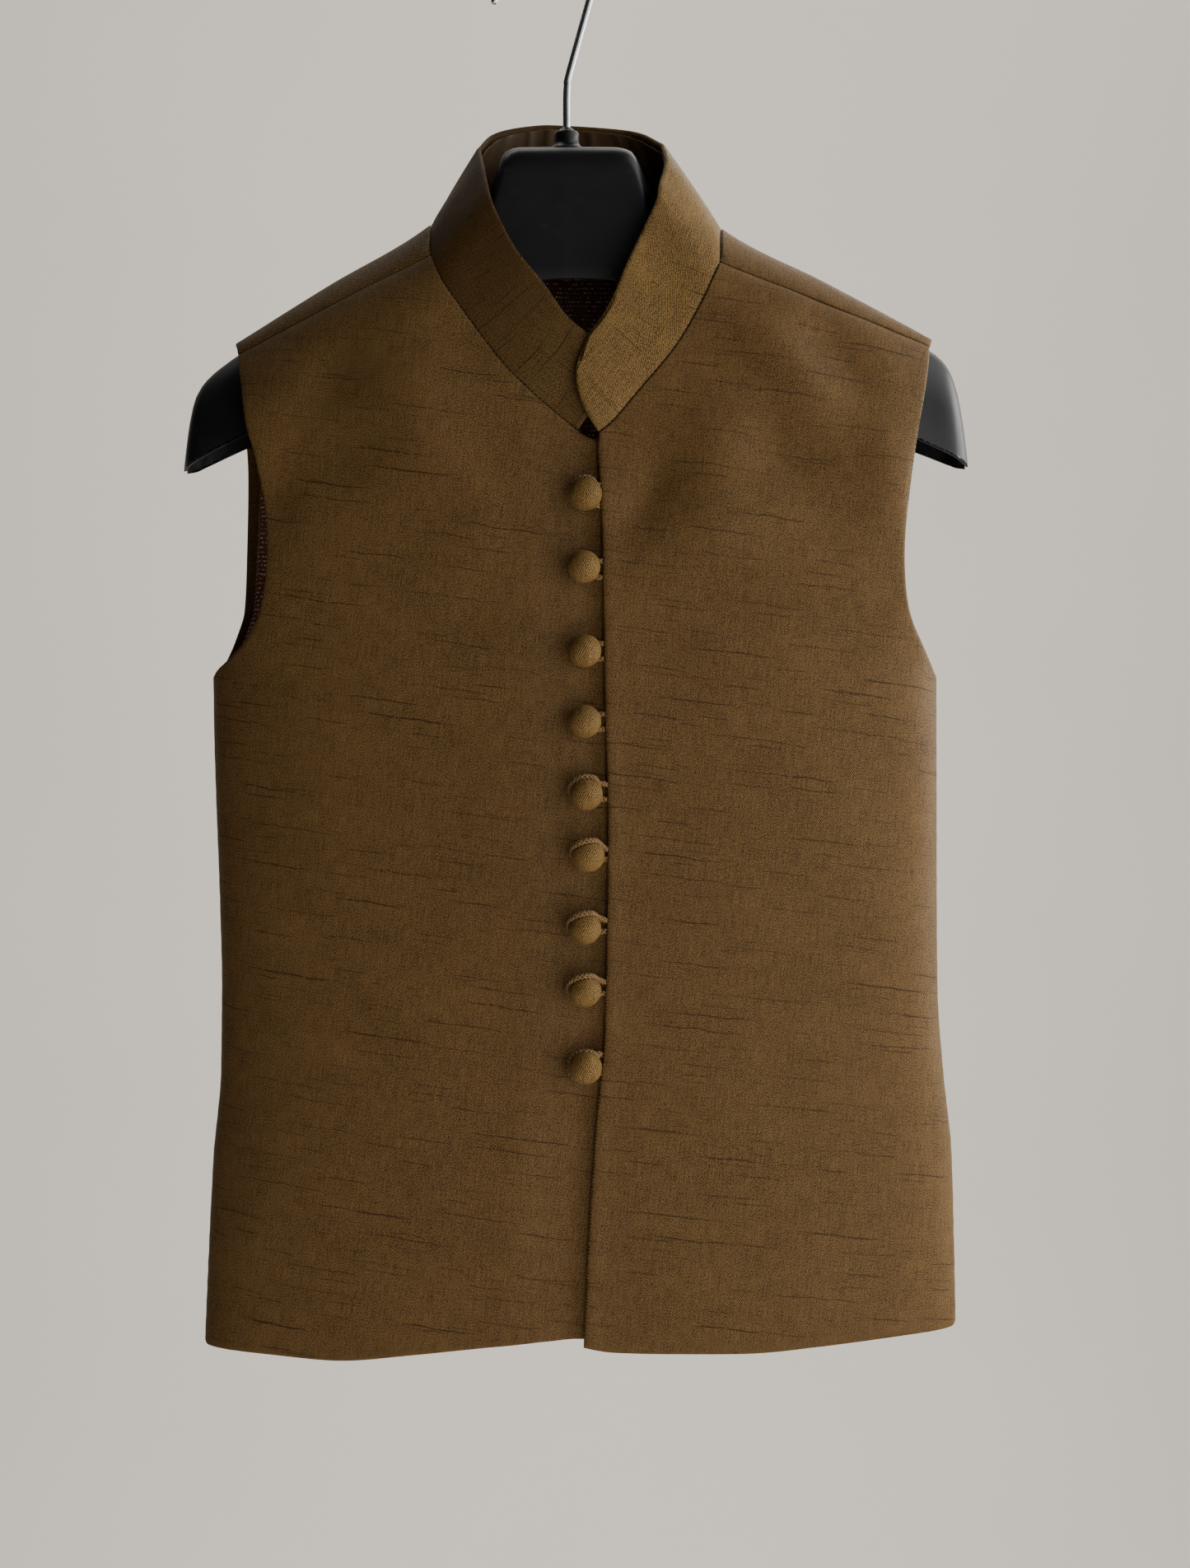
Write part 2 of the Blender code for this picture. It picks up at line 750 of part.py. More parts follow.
def back_tops():
    """Where each column of the back ends: shoulder seam, neckline, shoulder seam, as (x, turn)."""
    right_tip, left_tip = Vector(RIGHT_ARMHOLE[-1]), Vector(LEFT_ARMHOLE[-1])
    right_neck, left_neck = Vector(RIGHT_NECKLINE[-1]), Vector(LEFT_NECKLINE[-1])
    tops = []
    for k in range(SHOULDER_STEPS):
        place = right_tip.lerp(right_neck, k / SHOULDER_STEPS)
        tops.append((place.x, -turn_at(place.x, place.y + SEAM_GAP)))
    seam = [on_form(x, z, face) for x, z, face in neck_places()]
    for k, p in enumerate(seam):
        along = seam[min(k + 1, len(seam) - 1)] - seam[max(k - 1, 0)]
        away = along.cross(outward(p)).normalized()
        if away.dot(p - Vector((MID_X, -20, p.z))) < 0:
            away = -away
        tops.append(arch_place(p + away * NECK_GAP))
    for k in range(SHOULDER_STEPS):
        place = left_neck.lerp(left_tip, (k + 1) / SHOULDER_STEPS)
        tops.append((place.x, -turn_at(place.x, place.y + SEAM_GAP)))
    return tops


def back_grid():
    """The back's outer points and normals: rows from the hem up and over, columns across."""
    tops = back_tops()
    columns = len(tops) - 1
    quarter = math.pi / 2
    base = [mix(-quarter, quarter, k / columns) for k in range(columns + 1)]
    top_angles = [x_angle(x, over_shoulder(x, turn).z) for x, turn in tops]
    edge_top = (abs(top_angles[0]), abs(top_angles[-1]))

    def column_angle(k, edge, share):
        """The angle of a column where the outermost ones are at edge, share of the way to the top."""
        side = 0 if base[k] < 0 else 1
        even = base[k] / quarter * edge[side]
        shift = top_angles[k] - base[k] / quarter * edge_top[side]
        return even + shift * share

    points = []
    for level in BODY_LEVELS:
        line = []
        for k in range(columns + 1):
            x, z = body_place(base[k], level, BACK_HEM, "back")
            p = on_form(x, z, "back")
            p.y = max(p.y, side_gap(p.z))
            line.append(p)
        points.append(line)
    edge_z = [RIDGE.read("z", BACK_ARMHOLE.read(side, -232.0)) - ARCH for side in ("left", "right")]
    for level in BACK_ARMHOLE_LEVELS:
        heights = [mix(UNDERARM_Z, z, level) for z in edge_z]
        edge = [
            abs(x_angle(BACK_ARMHOLE.read(side, z), z)) for side, z in zip(("left", "right"), heights)
        ]
        line = []
        for k in range(columns + 1):
            angle = column_angle(k, edge, blend(0, 1.6, level))
            z = heights[0 if base[k] < 0 else 1]
            for _ in range(3):
                x = x_from_angle(angle, z)
                z = mix(UNDERARM_Z, RIDGE.read("z", x) - ARCH, level)
            line.append(on_form(x, z, "back"))
        points.append(line)
    start = blend(0, 1.6, 1)
    for row in range(1, ARCH_ROWS + 1):
        level = row / ARCH_ROWS
        line = []
        for k in range(columns + 1):
            x_top, turn_top = tops[k]
            if row == ARCH_ROWS:
                line.append(over_shoulder(x_top, turn_top))
                continue
            turn = mix(quarter, turn_top, level)
            side = 0 if base[k] < 0 else 1
            tip_turn = mix(quarter, tops[-side][1], level)
            name = ("left", "right")[side]
            edge_x = BACK_ARMHOLE.read(name, -185.0)
            tip_z = RIDGE.read("z", edge_x) - ARCH * (1 - math.cos(tip_turn))
            if tip_turn > 0:
                edge_x = BACK_ARMHOLE.read(name, tip_z)
            else:
                edge_x = mix(edge_x, tops[-side][0], tip_turn / tops[-side][1])
            edge = [abs(x_angle(edge_x, tip_z))] * 2
            angle = column_angle(k, edge, mix(start, 1.0, level))
            x = x_top
            for _ in range(3):
                z = RIDGE.read("z", x) - ARCH * (1 - math.cos(turn))
                x = x_from_angle(angle, z)
            line.append(over_shoulder(x, turn))
        points.append(line)
    normals = [[outward(p) for p in line] for line in points]
    return points, normals


def back_lining(points, normals, material):
    """The lining of the back, made from the back's points and moved in, inside its edges."""
    inset = BACK_WALL + LAYER_GAP
    row_numbers = range(1, len(points) - LINING_ROWS_SHORT)
    last = len(points[0]) - 1
    column_numbers = range(last + 1)
    rows, directions = [], []
    for i in row_numbers:
        line, direction = [], []
        for j in column_numbers:
            p, n = points[i][j], normals[i][j]
            depth = inset
            if j in (0, last):
                other = 1 if j == 0 else last - 1
                p, n = p.lerp(points[i][other], EDGE_SHARE), n.lerp(normals[i][other], EDGE_SHARE).normalized()
                depth += EDGE_DROP
            line.append(p - n * depth)
            direction.append(n)
        rows.append(line)
        directions.append(direction)
    wall("back_lining", rows, directions, LINING_WALL, material)


def collar_grid():
    """The collar's outer points and normals: rows from its seam up, columns from end to end."""
    places = [(p.x, p.y, "front") for p in even_points(RIGHT_NECKLINE, NECK_STEPS)[:-1]]
    places += neck_places()
    places += [(p.x, p.y, "front") for p in reversed(even_points(LEFT_NECKLINE, NECK_STEPS)[:-1])]
    seam, seam_normals = [], []
    for k, (x, z, face) in enumerate(places):
        p = on_form(x, z, face)
        n = outward(p)
        if k < NECK_STEPS:
            p = p - n * lap_tuck(x, z)
        seam.append(p)
        seam_normals.append(n)
    top = even_points(COLLAR_TOP_RIGHT, NECK_STEPS)
    top += even_points(COLLAR_TOP_RIGHT_SIDE, RIDGE_STEPS)[1:]
    top += even_points(COLLAR_TOP_BACK, BACK_NECK_STEPS)[1:]
    top += even_points(COLLAR_TOP_LEFT_SIDE, RIDGE_STEPS)[1:]
    top += even_points(COLLAR_TOP_LEFT, NECK_STEPS)[1:]
    ends = [even_points(end, COLLAR_ROWS) for end in (COLLAR_END_UNDER, COLLAR_END_OVER)]
    last = len(seam) - 1
    rows = []
    for i in range(COLLAR_ROWS + 1):
        share = i / COLLAR_ROWS
        line = []
        for k in range(last + 1):
            p = seam[k].lerp(top[k], share)
            for end, at, distance in ((ends[0], 0, k), (ends[1], last, last - k)):
                bulge = end[i] - seam[at].lerp(top[at], share)
                p = p + bulge * (1 - blend(0, END_REACH, distance))
            line.append(p)
        rows.append(line)
    rows[0] = seam
    normals = grid_normals(rows, out_from=(MID_X, -5, -110))
    normals[0] = seam_normals
    return rows, normals


def in_grid(grid, row, column):
    """A point between the grid's points, at fractional row and column numbers."""
    i, j = min(int(row), len(grid) - 2), min(int(column), len(grid[0]) - 2)
    a = grid[i][j].lerp(grid[i][j + 1], column - j)
    b = grid[i + 1][j].lerp(grid[i + 1][j + 1], column - j)
    return a.lerp(b, row - i)


def collar_lining(rows, normals, material):
    """The gathered strip inside the back of the collar."""
    first = NECK_STEPS + 2
    last = first + BACK_NECK_STEPS + 2 * RIDGE_STEPS - 4
    steps = GATHERS * 4
    line_rows = [share * COLLAR_ROWS for share in STRIP_LEVELS]
    outer, directions = [], []
    for row in line_rows:
        line, direction = [], []
        for k in range(steps + 1):
            column = mix(first, last, k / steps)
            n = in_grid(normals, row, column).normalized()
            p = in_grid(rows, row, column)
            ripple = 0.5 - 0.5 * math.cos(2 * math.pi * GATHERS * k / steps)
            line.append(p - n * (COLLAR_WALL + LAYER_GAP + GATHER_DEPTH * ripple))
            direction.append(n)
        outer.append(line)
        directions.append(direction)
    wall("collar_lining", outer, directions, STRIP_WALL, material)


def button(number, x, z, material):
    """A cloth-covered ball on its shank, from the right front's face outwards."""
    face = on_form(x, z, "front")
    base = face - outward(face) * lap_tuck(x, z)
    top = BUTTON_STANDOFF + BUTTON_RADIUS
    under = math.asin(SHANK_RADIUS / BUTTON_RADIUS)
    profile = [(0.0, LAYER_GAP), (SHANK_RADIUS, LAYER_GAP)]
    for k in range(BUTTON_RINGS):
        angle = mix(under, math.pi, k / BUTTON_RINGS)
        height = BUTTON_STANDOFF - BUTTON_RADIUS * math.cos(angle)
        profile.append((BUTTON_RADIUS * math.sin(angle), height))
    profile.append((0.0, top))
    turned(f"button_{number}", profile, base, Vector((0, -1, 0)), BUTTON_SIDES, material)


def loop(row, material):
    """A cord that comes out at the lapping edge, round the ball and its shank, and back to the edge."""
    x, z = row["x"], row["z"]
    behind = CORD_LIFT - BUTTON_STANDOFF
    clear = BUTTON_RADIUS + CORD_RADIUS + LOOP_CLEAR
    edge = LAP_EDGE.read("x", z) - CORD_END_GAP
    upper, lower = z + row["upper"], z + row["lower"]
    spring = LOOP_SPRING * (row["over"] + row["along"])
    ring = [(edge - LOOP_STEM, behind + spring, upper + LOOP_LIFT * spring)]
    for k in range(LOOP_WAYS + 1):
        angle = mix(*LOOP_SWEEP, k / LOOP_WAYS)
        front = behind
        for way in ("over", "along"):
            front += row[way] * (LOOP_RIDE.read(way, angle) - behind)
        radius = math.sqrt(clear**2 - front**2)
        turn = math.radians(angle)
        across = min(radius * math.cos(turn), edge - LOOP_STEM - x - LOOP_DRAW * spring)
        up = math.copysign(math.sqrt(radius**2 - across**2), math.sin(turn))
        ring.append((x + across, front, z + up))
    ring.append((edge - LOOP_STEM, behind, lower))
    ring = [tuple(p) for p in even_points(ring, LOOP_STEPS)]
    ring = [(edge, behind + LOOP_DRAW * spring, upper)] + ring + [(edge, behind, lower)]
    path = []
    for px, front, pz in ring:
        face = on_form(px, pz, "front")
        out = outward(face)
        path.append(face - out * LAP_TUCK + out * (BUTTON_STANDOFF + front))
    tube(f"loop_{row['number']}", path, CORD_RADIUS, LOOP_SIDES, material)


def block_back_lift(x):
    """How much higher the hanger's back wall ends than its front at x."""
    (left, left_full), (right_full, right) = BLOCK_EDGES
    return BLOCK_BACK_LIFT * blend(left, left_full, x) * (1 - blend(right_full, right, x))


def hanger_form(material):
    """The moulded half-form: an open-bottomed shell over the shoulders, with a neck block."""
    stations = HANGER.columns["x"]
    xs = []
    for a, b in zip(stations, stations[1:]):
        pieces = max(1, round((b - a) / HANGER_STATION))
        xs += [mix(a, b, k / pieces) for k in range(pieces)]
    xs.append(stations[-1])
    rows = []
    for x in xs:
        top, low, depth, arch, square = (
            HANGER.read(name, x) for name in ("top", "low", "depth", "arch", "square")
        )
        arch = min(arch, (top - low) * HANGER_ARCH_SHARE)
        line = []
        for k in range(HANGER_SECTION_STEPS + 1):
            way = mix(-1, 1, k / HANGER_SECTION_STEPS)
            past = abs(way) - (1 - HANGER_STRAIGHT)
            turn = min(1.0, abs(way) / (1 - HANGER_STRAIGHT)) * math.pi / 2
            y = depth * math.sin(turn) ** (2 / square)
            z = top - arch * (1 - math.cos(turn) ** (2 / square))
            if past > 0:
                end = low + block_back_lift(x) if way > 0 else low
                z = mix(top - arch, end, past / HANGER_STRAIGHT)
            line.append(Vector((x, math.copysign(y, way), z)))
        rows.append(line)
    normals = grid_normals(rows, out_from=(HANGER_CENTRE_X, 0, -160))
    walls = [min(HANGER_WALL, HANGER_WALL_SHARE * HANGER.read("depth", x)) for x in xs]
    wall("hanger_form", rows, normals, walls, material)


def hook_path():
    """The wire's middle line: up from its socket, leaning out, over the rail and down to its tip."""
    flat = [(SHANK_X, WIRE_FOOT_Z), (SHANK_X, -86.0)]
    x, z = SHANK_X, WIRE_BEND[0][0]
    flat.append((x, z))
    for (low, lean_low), (high, lean_high) in zip(WIRE_BEND, WIRE_BEND[1:]):
        lean = math.radians((lean_low + lean_high) / 2)
        x += (high - low) * math.tan(lean)
        flat.append((x, high))
    centre_z = WIRE_RADIUS - HOOK_RADIUS
    for k in range(HOOK_STEPS + 1):
        angle = -HOOK_LEAN + HOOK_SWEEP * k / HOOK_STEPS
        flat.append((HOOK_RADIUS * math.cos(angle), centre_z + HOOK_RADIUS * math.sin(angle)))
    flat += list(HOOK_TIP)
    return [Vector((x, 0, z)) for x, z in flat]


def build():
    for thing in list(bpy.data.objects):
        bpy.data.objects.remove(thing, do_unlink=True)
    silk = make_material("slub_silk", (0.16, 0.1, 0.032), 0.6)
    satin = make_material("lining_satin", (0.1, 0.045, 0.022), 0.4)
    braid = make_material("loop_braid", (0.3, 0.19, 0.07), 0.6)
    plastic = make_material("hanger_plastic", (0.01, 0.01, 0.011), 0.35)
    steel = make_material("hook_steel", (0.6, 0.6, 0.6), 0.25, 1.0)

    left_neck = move_off(even_points(LEFT_NECKLINE, NECK_STEPS), SEAM_GAP, (170, -250))
    right_neck = move_off(even_points(RIGHT_NECKLINE, NECK_STEPS), SEAM_GAP, (-140, -250))
    front_panel("left_front", LAP_EDGE, LEFT_HEM, left_neck, LEFT_ARMHOLE, silk, False)
    front_panel("right_front", UNDERLAP_EDGE, RIGHT_HEM, right_neck, RIGHT_ARMHOLE, silk, True)
    points, normals = back_grid()
    wall("back", points, normals, BACK_WALL, silk)
    back_lining(points, normals, satin)
    rows, directions = collar_grid()
    wall("collar", rows, directions, COLLAR_WALL, silk)
    collar_lining(rows, directions, satin)
    for values in zip(*BUTTONS.columns.values()):
        row = dict(zip(BUTTONS.columns, values))
        button(row["number"], row["x"], row["z"], silk)
        loop(row, braid)
    hanger_form(plastic)
    shank = Vector((SHANK_X, 0, 0))
    turned("hook_socket", SOCKET_PROFILE, shank, Vector((0, 0, 1)), SOCKET_SIDES, plastic)
    tube("hook_wire", hook_path(), WIRE_RADIUS, WIRE_SIDES, steel)


build()
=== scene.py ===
"""The looks of a child's sherwani waistcoat on its hanger: silk, linings, braid, plastic and wire.

Sizes are in millimetres and the meshes are made in metres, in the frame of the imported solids:
X runs to the wearer's left, Y from front to back and Z up, and the origin is the hook's inner top.
The cloth follows the same worn form as its solids: oval sections below the arms and an arch over
the shoulders. A place on it is (x, z, face), where face is "front" or "back" of the ridge.
"""
import bisect
import math

import bpy
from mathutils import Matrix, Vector, noise


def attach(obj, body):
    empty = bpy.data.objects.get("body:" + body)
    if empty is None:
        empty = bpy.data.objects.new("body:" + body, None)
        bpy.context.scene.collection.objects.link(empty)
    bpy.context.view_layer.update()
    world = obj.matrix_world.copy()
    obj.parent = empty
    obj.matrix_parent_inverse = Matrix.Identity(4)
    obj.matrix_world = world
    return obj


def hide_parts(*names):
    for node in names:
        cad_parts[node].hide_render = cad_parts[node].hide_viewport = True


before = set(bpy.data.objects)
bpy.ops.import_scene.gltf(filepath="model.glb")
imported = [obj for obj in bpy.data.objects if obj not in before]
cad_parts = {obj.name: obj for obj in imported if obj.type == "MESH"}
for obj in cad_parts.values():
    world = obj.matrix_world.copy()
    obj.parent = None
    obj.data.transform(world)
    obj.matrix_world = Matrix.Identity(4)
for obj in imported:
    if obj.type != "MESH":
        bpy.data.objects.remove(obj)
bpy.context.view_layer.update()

MM = 0.001

MID_X = 14.5
# The body's sections are ovals of this power, this deep for their width, measured in steps.
ROUNDNESS = 2.4
OVAL_FLATNESS = 40.0 / 163.0
OVAL_STEPS = 200
ARCH = 45.0
UNDERARM_Z = -337.0
VENT_TOP_Z = -513.0
HEM_Z = -632.0

FRONT_WALL = 2.0
BACK_WALL = 1.5
LINING_WALL = 1.0
COLLAR_WALL = 2.2
STRIP_WALL = 0.8
HANGER_WALL = 2.2
SEAM_GAP = 0.35
NECK_GAP = 0.6
SIDE_GAP = 0.2
LAYER_GAP = 0.35

LAP_TUCK = 2.4
LAP_RAMP = (34.0, 14.0)
HEM_CORNER = 10.0
VENT_SPREAD = 1.6

BUTTON_RADIUS = 7.1
BUTTON_STANDOFF = 8.8
SHANK_RADIUS = 2.0
CORD_RADIUS = 1.35
CORD_LIFT = 1.75
CORD_END_GAP = 0.25
CORD_PRESS = 1.25
CORD_PRESS_WIDTH = 4.5
LOOP_STEM = 1.3
LOOP_SPRING = 1.5
LOOP_SWEEP = (42, 312)
LOOP_WAYS = 12
# Shares of the spring that lift a loop's upper stem and draw it in.
LOOP_LIFT = 0.4
LOOP_DRAW = 0.3

WIRE_RADIUS = 1.65
HOOK_RADIUS = 22.6
HANGER_CENTRE_X = 11.0
SHANK_X = 10.0

# How many fine steps each surface has.
BODY_ROWS = 100
FRONT_COLUMNS = 54
UPPER_ROWS = 20
NECK_ROWS = 36
RIDGE_STEPS = 10
SHOULDER_STEPS = 26
BACK_NECK_STEPS = 36
ARMHOLE_ROWS = 44
ARCH_ROWS = 30
COLLAR_ROWS = 16
COLLAR_END_REACH = 16
RIM_RINGS = 3
VENT_ROW = round(BODY_ROWS * (VENT_TOP_Z - HEM_Z) / (UNDERARM_Z - HEM_Z))

# How far the weft falls to the right, in degrees, on the fronts and on the back and collar.
FRONT_GRAIN = {"left": 7.0, "right": 8.0}
GRAIN = 2.0

# The radius of a sewn edge, and of the shoulder seams' edges, which are rounder.
SEAM_ROUND = 0.42
SHOULDER_ROUND = 1.0
# How many steps in from a seam it sinks, how wide and deep that is, and its fine puckers.
SEAM_STEPS = 9
SEAM_WIDTH = 2.6
SEAM_SINK = 0.3
SHOULDER_SINK = 0.5
BACK_TOP_SINK = 0.35
PUCKER_DEPTH = 0.16
PUCKER_REACH = 5.0
PUCKER_RISE = 1.5
# The lap's lifted edge and the hollow beside it: height, place in from the edge and width.
LAP_STEPS = ((0.9, 1.5, 4.0), (-1.4, -6.5, 4.5))
LAP_STEP_START = (-195, -230)
# The cloth's own unevenness: its height, how wide and tall it is, and a seed for each face.
UNEVENNESS = ((0.5, 42, 66, 3.0, 8.0), (0.2, 17, 30, 21.0, 28.0))
# A panel is calm where the form is this thin, and the back only this far above the underarm.
CALM_EDGE = (2, 12)
CALM_RISE = 90
# The back's armhole edge meets the shoulder's arch at the first height and ends at the second.
ARCH_FOOT_Z = -232.0
ARMHOLE_TIP_Z = -185.0
# How many times over the armhole's height the columns drift towards their places at the top.
SHIFT_REACH = 1.6
# The pressed ridges of vents and hem: depth and width, how far in from the side, and where.
VENT_RIDGE = (0.28, 1.3)
VENT_FACING = (17.0, 9.0)
VENT_FADE = 14
HEM_RIDGE = (0.12, 1.6)
HEM_TURN_Z = -606.0
HEM_TURN_SLOPE = 0.02
BODY_END_Z = -640
# How many of its lengths or widths away a fold ends.
FOLD_REACH = 2.2
# Columns and rows of a front lie closer where the cloth turns most.
COLUMN_CROWDING = 1.15
ROW_CROWDING = 1.25
# How far below its corner a front's edge runs over to the neckline.
CORNER_TURN = 6
# How many rounds settle a place whose X and Z depend on each other.
SETTLING = 3
# How many steps the silk facings reach in behind a front's hem and lapping edge, below its
# shoulder seam, and in from its vent and up it.
FACING_STEPS = 9
SHOULDER_FACING = 4
VENT_FACING_STEPS = (6, 40)
# The back's lining: how far inside the back's grid it ends, its turned edge and its slack.
LINING_INSET_ROWS = (5, 6)
LINING_INSET_COLUMNS = 2
LINING_TURN = 0.9
LINING_SLACK = 0.35
# The collar's roll, the rows that turn out of its seam, and points inside the neck.
COLLAR_ROLL = 0.35
COLLAR_SEAM_ROWS = 4
NECK_MIDDLE = (MID_X, -5, -110)
NECK_AXIS_Y = -20
NECK_TURN_MOST = 0.95
HALF_OVAL_STEPS = 32
# The gathered strip's steps along and up, and the share of the collar's height that it covers.
STRIP_STEPS = 260
STRIP_LEVELS = 14
STRIP_REACH = (0.18, 0.93)
# How far along the ridge the strip ends, how its gathers lean and widen, and how they ease.
STRIP_INSET = 0.6
GATHER_LEAN = 0.012
GATHER_SPREAD = (0.55, 1.1)
GATHER_EASE = 0.55
# A ball's fineness, its pleats behind, where its cloth lies in the pattern, and its dimples.
BUTTON_RINGS = 40
BUTTON_SIDES = 64
BUTTON_PLEATS = 9
PLEAT_DEPTH = 0.8
SHANK_STEP = 0.9
BUTTON_CLOTH = 57.0
BUTTON_DIMPLE = 0.12
SHANK_CLOTH = 20.0
LOOP_POINTS = 90

# How far the pattern of a sheet's inner side is moved along, and each ring of its edge out.
INNER_UV_SHIFT = 500.0
RIM_UV_STEP = 0.6


class Table:
    """Rows with named columns, read smoothly between rows by the first column."""

    def __init__(self, names, *rows):
        self.columns = dict(zip(names.split(), zip(*sorted(rows))))
        self.key = names.split()[0]
        self.slopes = {}

    def find_slopes(self, column):
        xs, ys = self.columns[self.key], self.columns[column]
        rise = [(ys[k + 1] - ys[k]) / (xs[k + 1] - xs[k]) for k in range(len(xs) - 1)]
        slopes = [rise[0]]
        for before, after in zip(rise, rise[1:]):
            slopes.append(0.0 if before * after <= 0 else 2 * before * after / (before + after))
        return slopes + [rise[-1]]

    def read(self, column, at):
        if column not in self.slopes:
            self.slopes[column] = self.find_slopes(column)
        xs, ys, slopes = self.columns[self.key], self.columns[column], self.slopes[column]
        if at <= xs[0]:
            return ys[0]
        if at >= xs[-1]:
            return ys[-1]
        i = bisect.bisect_right(xs, at) - 1
        width = xs[i + 1] - xs[i]
        t = (at - xs[i]) / width
        a, b = slopes[i] * width, slopes[i + 1] * width
        return (
            ys[i] * (1 + 2 * t) * (1 - t) ** 2
            + a * t * (1 - t) ** 2
            + ys[i + 1] * t * t * (3 - 2 * t)
            + b * t * t * (t - 1)
        )


# The worn form, a row for each section: the sides' X, and how far the front and back stand out.
BODY = Table(
    "z left right front back",
    (-90, -162, 191, 36, 36), (-190, -162, 191, 38, 37), (-250, -161, 190, 40, 38),
    (-300, -156, 184, 40.5, 38),
    (-337, -148.5, 176, 40.5, 38),
    (-365, -148, 176, 40.5, 38),
    (-440, -145.4, 176.2, 40.5, 37),
    (-477, -144.6, 176.5, 40, 36),
    (-513, -145, 179, 39.5, 35),
    (-550, -148.3, 182.8, 39, 34),
    (-587, -150.2, 183.9, 38.5, 33),
    (-640, -152.5, 184.9, 38, 32),
)
RIDGE = Table(
    "x z",
    (-165, -203), (-139, -187.5), (-96.5, -161.3), (-52, -135), (-25, -108), (14.5, -90),
    (54, -108), (81, -136.8), (125.5, -159.6), (173.6, -185), (195, -197),
)
# The lapping edge of the left front, and the hidden edge of the right front under it.
LAP_EDGE = Table(
    "z x",
    (-640, 17.5), (-586, 19.8), (-532, 23.3), (-491, 26.9), (-402, 28.3), (-345, 26.9),
    (-277, 25.8), (-232, 23.4),
)
UNDERLAP_EDGE = Table(
    "z x",
    (-640, 31.0), (-500, 40.0), (-337, 40.5), (-270, 39.0), (-250, 35.0), (-238, 26.0),
)
LEFT_HEM = Table(
    "x z", (17, -629.5), (30, -632), (56, -632.8), (88, -633), (120, -630.8), (160, -627.5), (190, -626)
)
RIGHT_HEM = Table(
    "x z",
    (-155, -634.5), (-120, -635.5), (-92, -636.8), (-56, -633.5), (-20, -629.6), (35, -625),
)
BACK_HEM = Table("x z", (-155, -632), (15, -629), (190, -630))
# Armhole edges from underarm to shoulder seam, as (x, z) on the front's face.
LEFT_ARMHOLE = (
    (176.2, -337), (174.2, -333.5), (169.2, -324.4), (163.3, -312.6), (160.4, -300.8),
    (159.2, -284), (159.6, -266.6), (161.5, -250.9), (165.1, -230.6), (168.8, -212.4),
    (171.2, -198.1), (172.4, -189.3),
)
RIGHT_ARMHOLE = (
    (-148.5, -337), (-146.5, -334), (-140.6, -329.7), (-132.9, -322.4), (-126.3, -312.3),
    (-123.5, -301.9), (-121.9, -289.3), (-121.9, -275.3), (-123.8, -257.1), (-127.3, -239.1),
    (-130.9, -226.8), (-133.7, -208.4), (-136.4, -193.4),
)
BACK_ARMHOLE = Table(
    "z left right",
    (-337, -148.5, 176), (-329, -145, 173.5), (-316, -140.5, 169), (-306, -137.8, 166.2),
    (-290, -137, 164.8), (-245, -136.3, 166), (-210, -138.3, 171.5), (-185, -139, 174.5),
)
# The neckline seam on the fronts, from the lap up to the shoulder seam, as (x, z).
RIGHT_NECKLINE = (
    (15.5, -230.4), (-3.8, -214.6), (-18.8, -199.5), (-36.9, -175.1), (-44.2, -164.4),
    (-49.4, -152.4),
)
LEFT_NECKLINE = (
    (24.4, -231.8), (30.5, -226.8), (41.6, -213.5), (56.6, -195.5), (67.8, -176.9), (77.5, -156.1),
)
BACK_NECK_HALF_WIDTH = 65.0
BACK_NECK_DEPTH = 33.0
# The collar's upper edge in five stretches, as (x, y, z), from the lapped end to the lapping end.
COLLAR_TOP = (
    ((21.5, -38.3, -190), (10.5, -38.8, -181.1), (0.4, -38.4, -166.8), (-11.8, -37, -151.4),
     (-20.8, -33.2, -133.5), (-24.1, -29, -124.1)),
    ((-24.1, -29, -124.1), (-27.2, -14, -109.5), (-29.8, 4, -97.5)),
    ((-29.8, 4, -97.5), (-23.2, 18, -87.4), (-4.7, 28.5, -81.6), (12, 30.5, -81.3),
     (33.2, 27, -83.6), (44.4, 19, -87.1), (53.5, 4, -95.5)),
    ((53.5, 4, -95.5), (54.5, -13, -107.2), (51.3, -28, -121.4)),
    ((51.3, -28, -121.4), (49, -32.8, -131.1), (37.2, -39.2, -157.4), (29.4, -41.3, -176),
     (21.2, -41.8, -188.4)),
)
COLLAR_TOP_STEPS = (NECK_ROWS, RIDGE_STEPS, BACK_NECK_STEPS, RIDGE_STEPS, NECK_ROWS)
# The collar's two rounded ends, from its seam to its upper edge.
COLLAR_END_UNDER = (
    (15.5, -37.2, -230.4), (20.5, -37.4, -223), (24, -37.6, -214), (25, -37.8, -206),
    (24.5, -38, -198), (21.5, -38.3, -190),
)
COLLAR_END_OVER = (
    (24.4, -39.9, -231.8), (19.4, -41.2, -224.5), (15.5, -41.5, -214.6), (14.4, -41.7, -206.4),
    (16.2, -41.8, -198.6), (21.2, -41.8, -188.4),
)

# The form's own large folds: the middle's X and Z, length, angle from level, width and depth.
FOLDS = {
    "front": (
        (-82, -238, 34, 12, 15, 4.5),
        (58, -276, 26, -35, 13, 4.0),
        (100, -262, 40, 18, 17, -2.5),
        (-60, -420, 110, 78, 34, 2.0),
        (105, -470, 130, 100, 36, 1.8),
        (-70, -590, 80, 84, 24, -2.2),
        (90, -590, 80, 96, 26, -2.0),
    ),
    "back": (
        (-45, -250, 60, 20, 20, 3.0),
        (75, -255, 60, -22, 20, 3.0),
        (-50, -470, 150, 82, 34, 2.4),
        (80, -480, 150, 99, 36, 2.2),
        (15, -560, 120, 90, 40, -2.0),
    ),
}
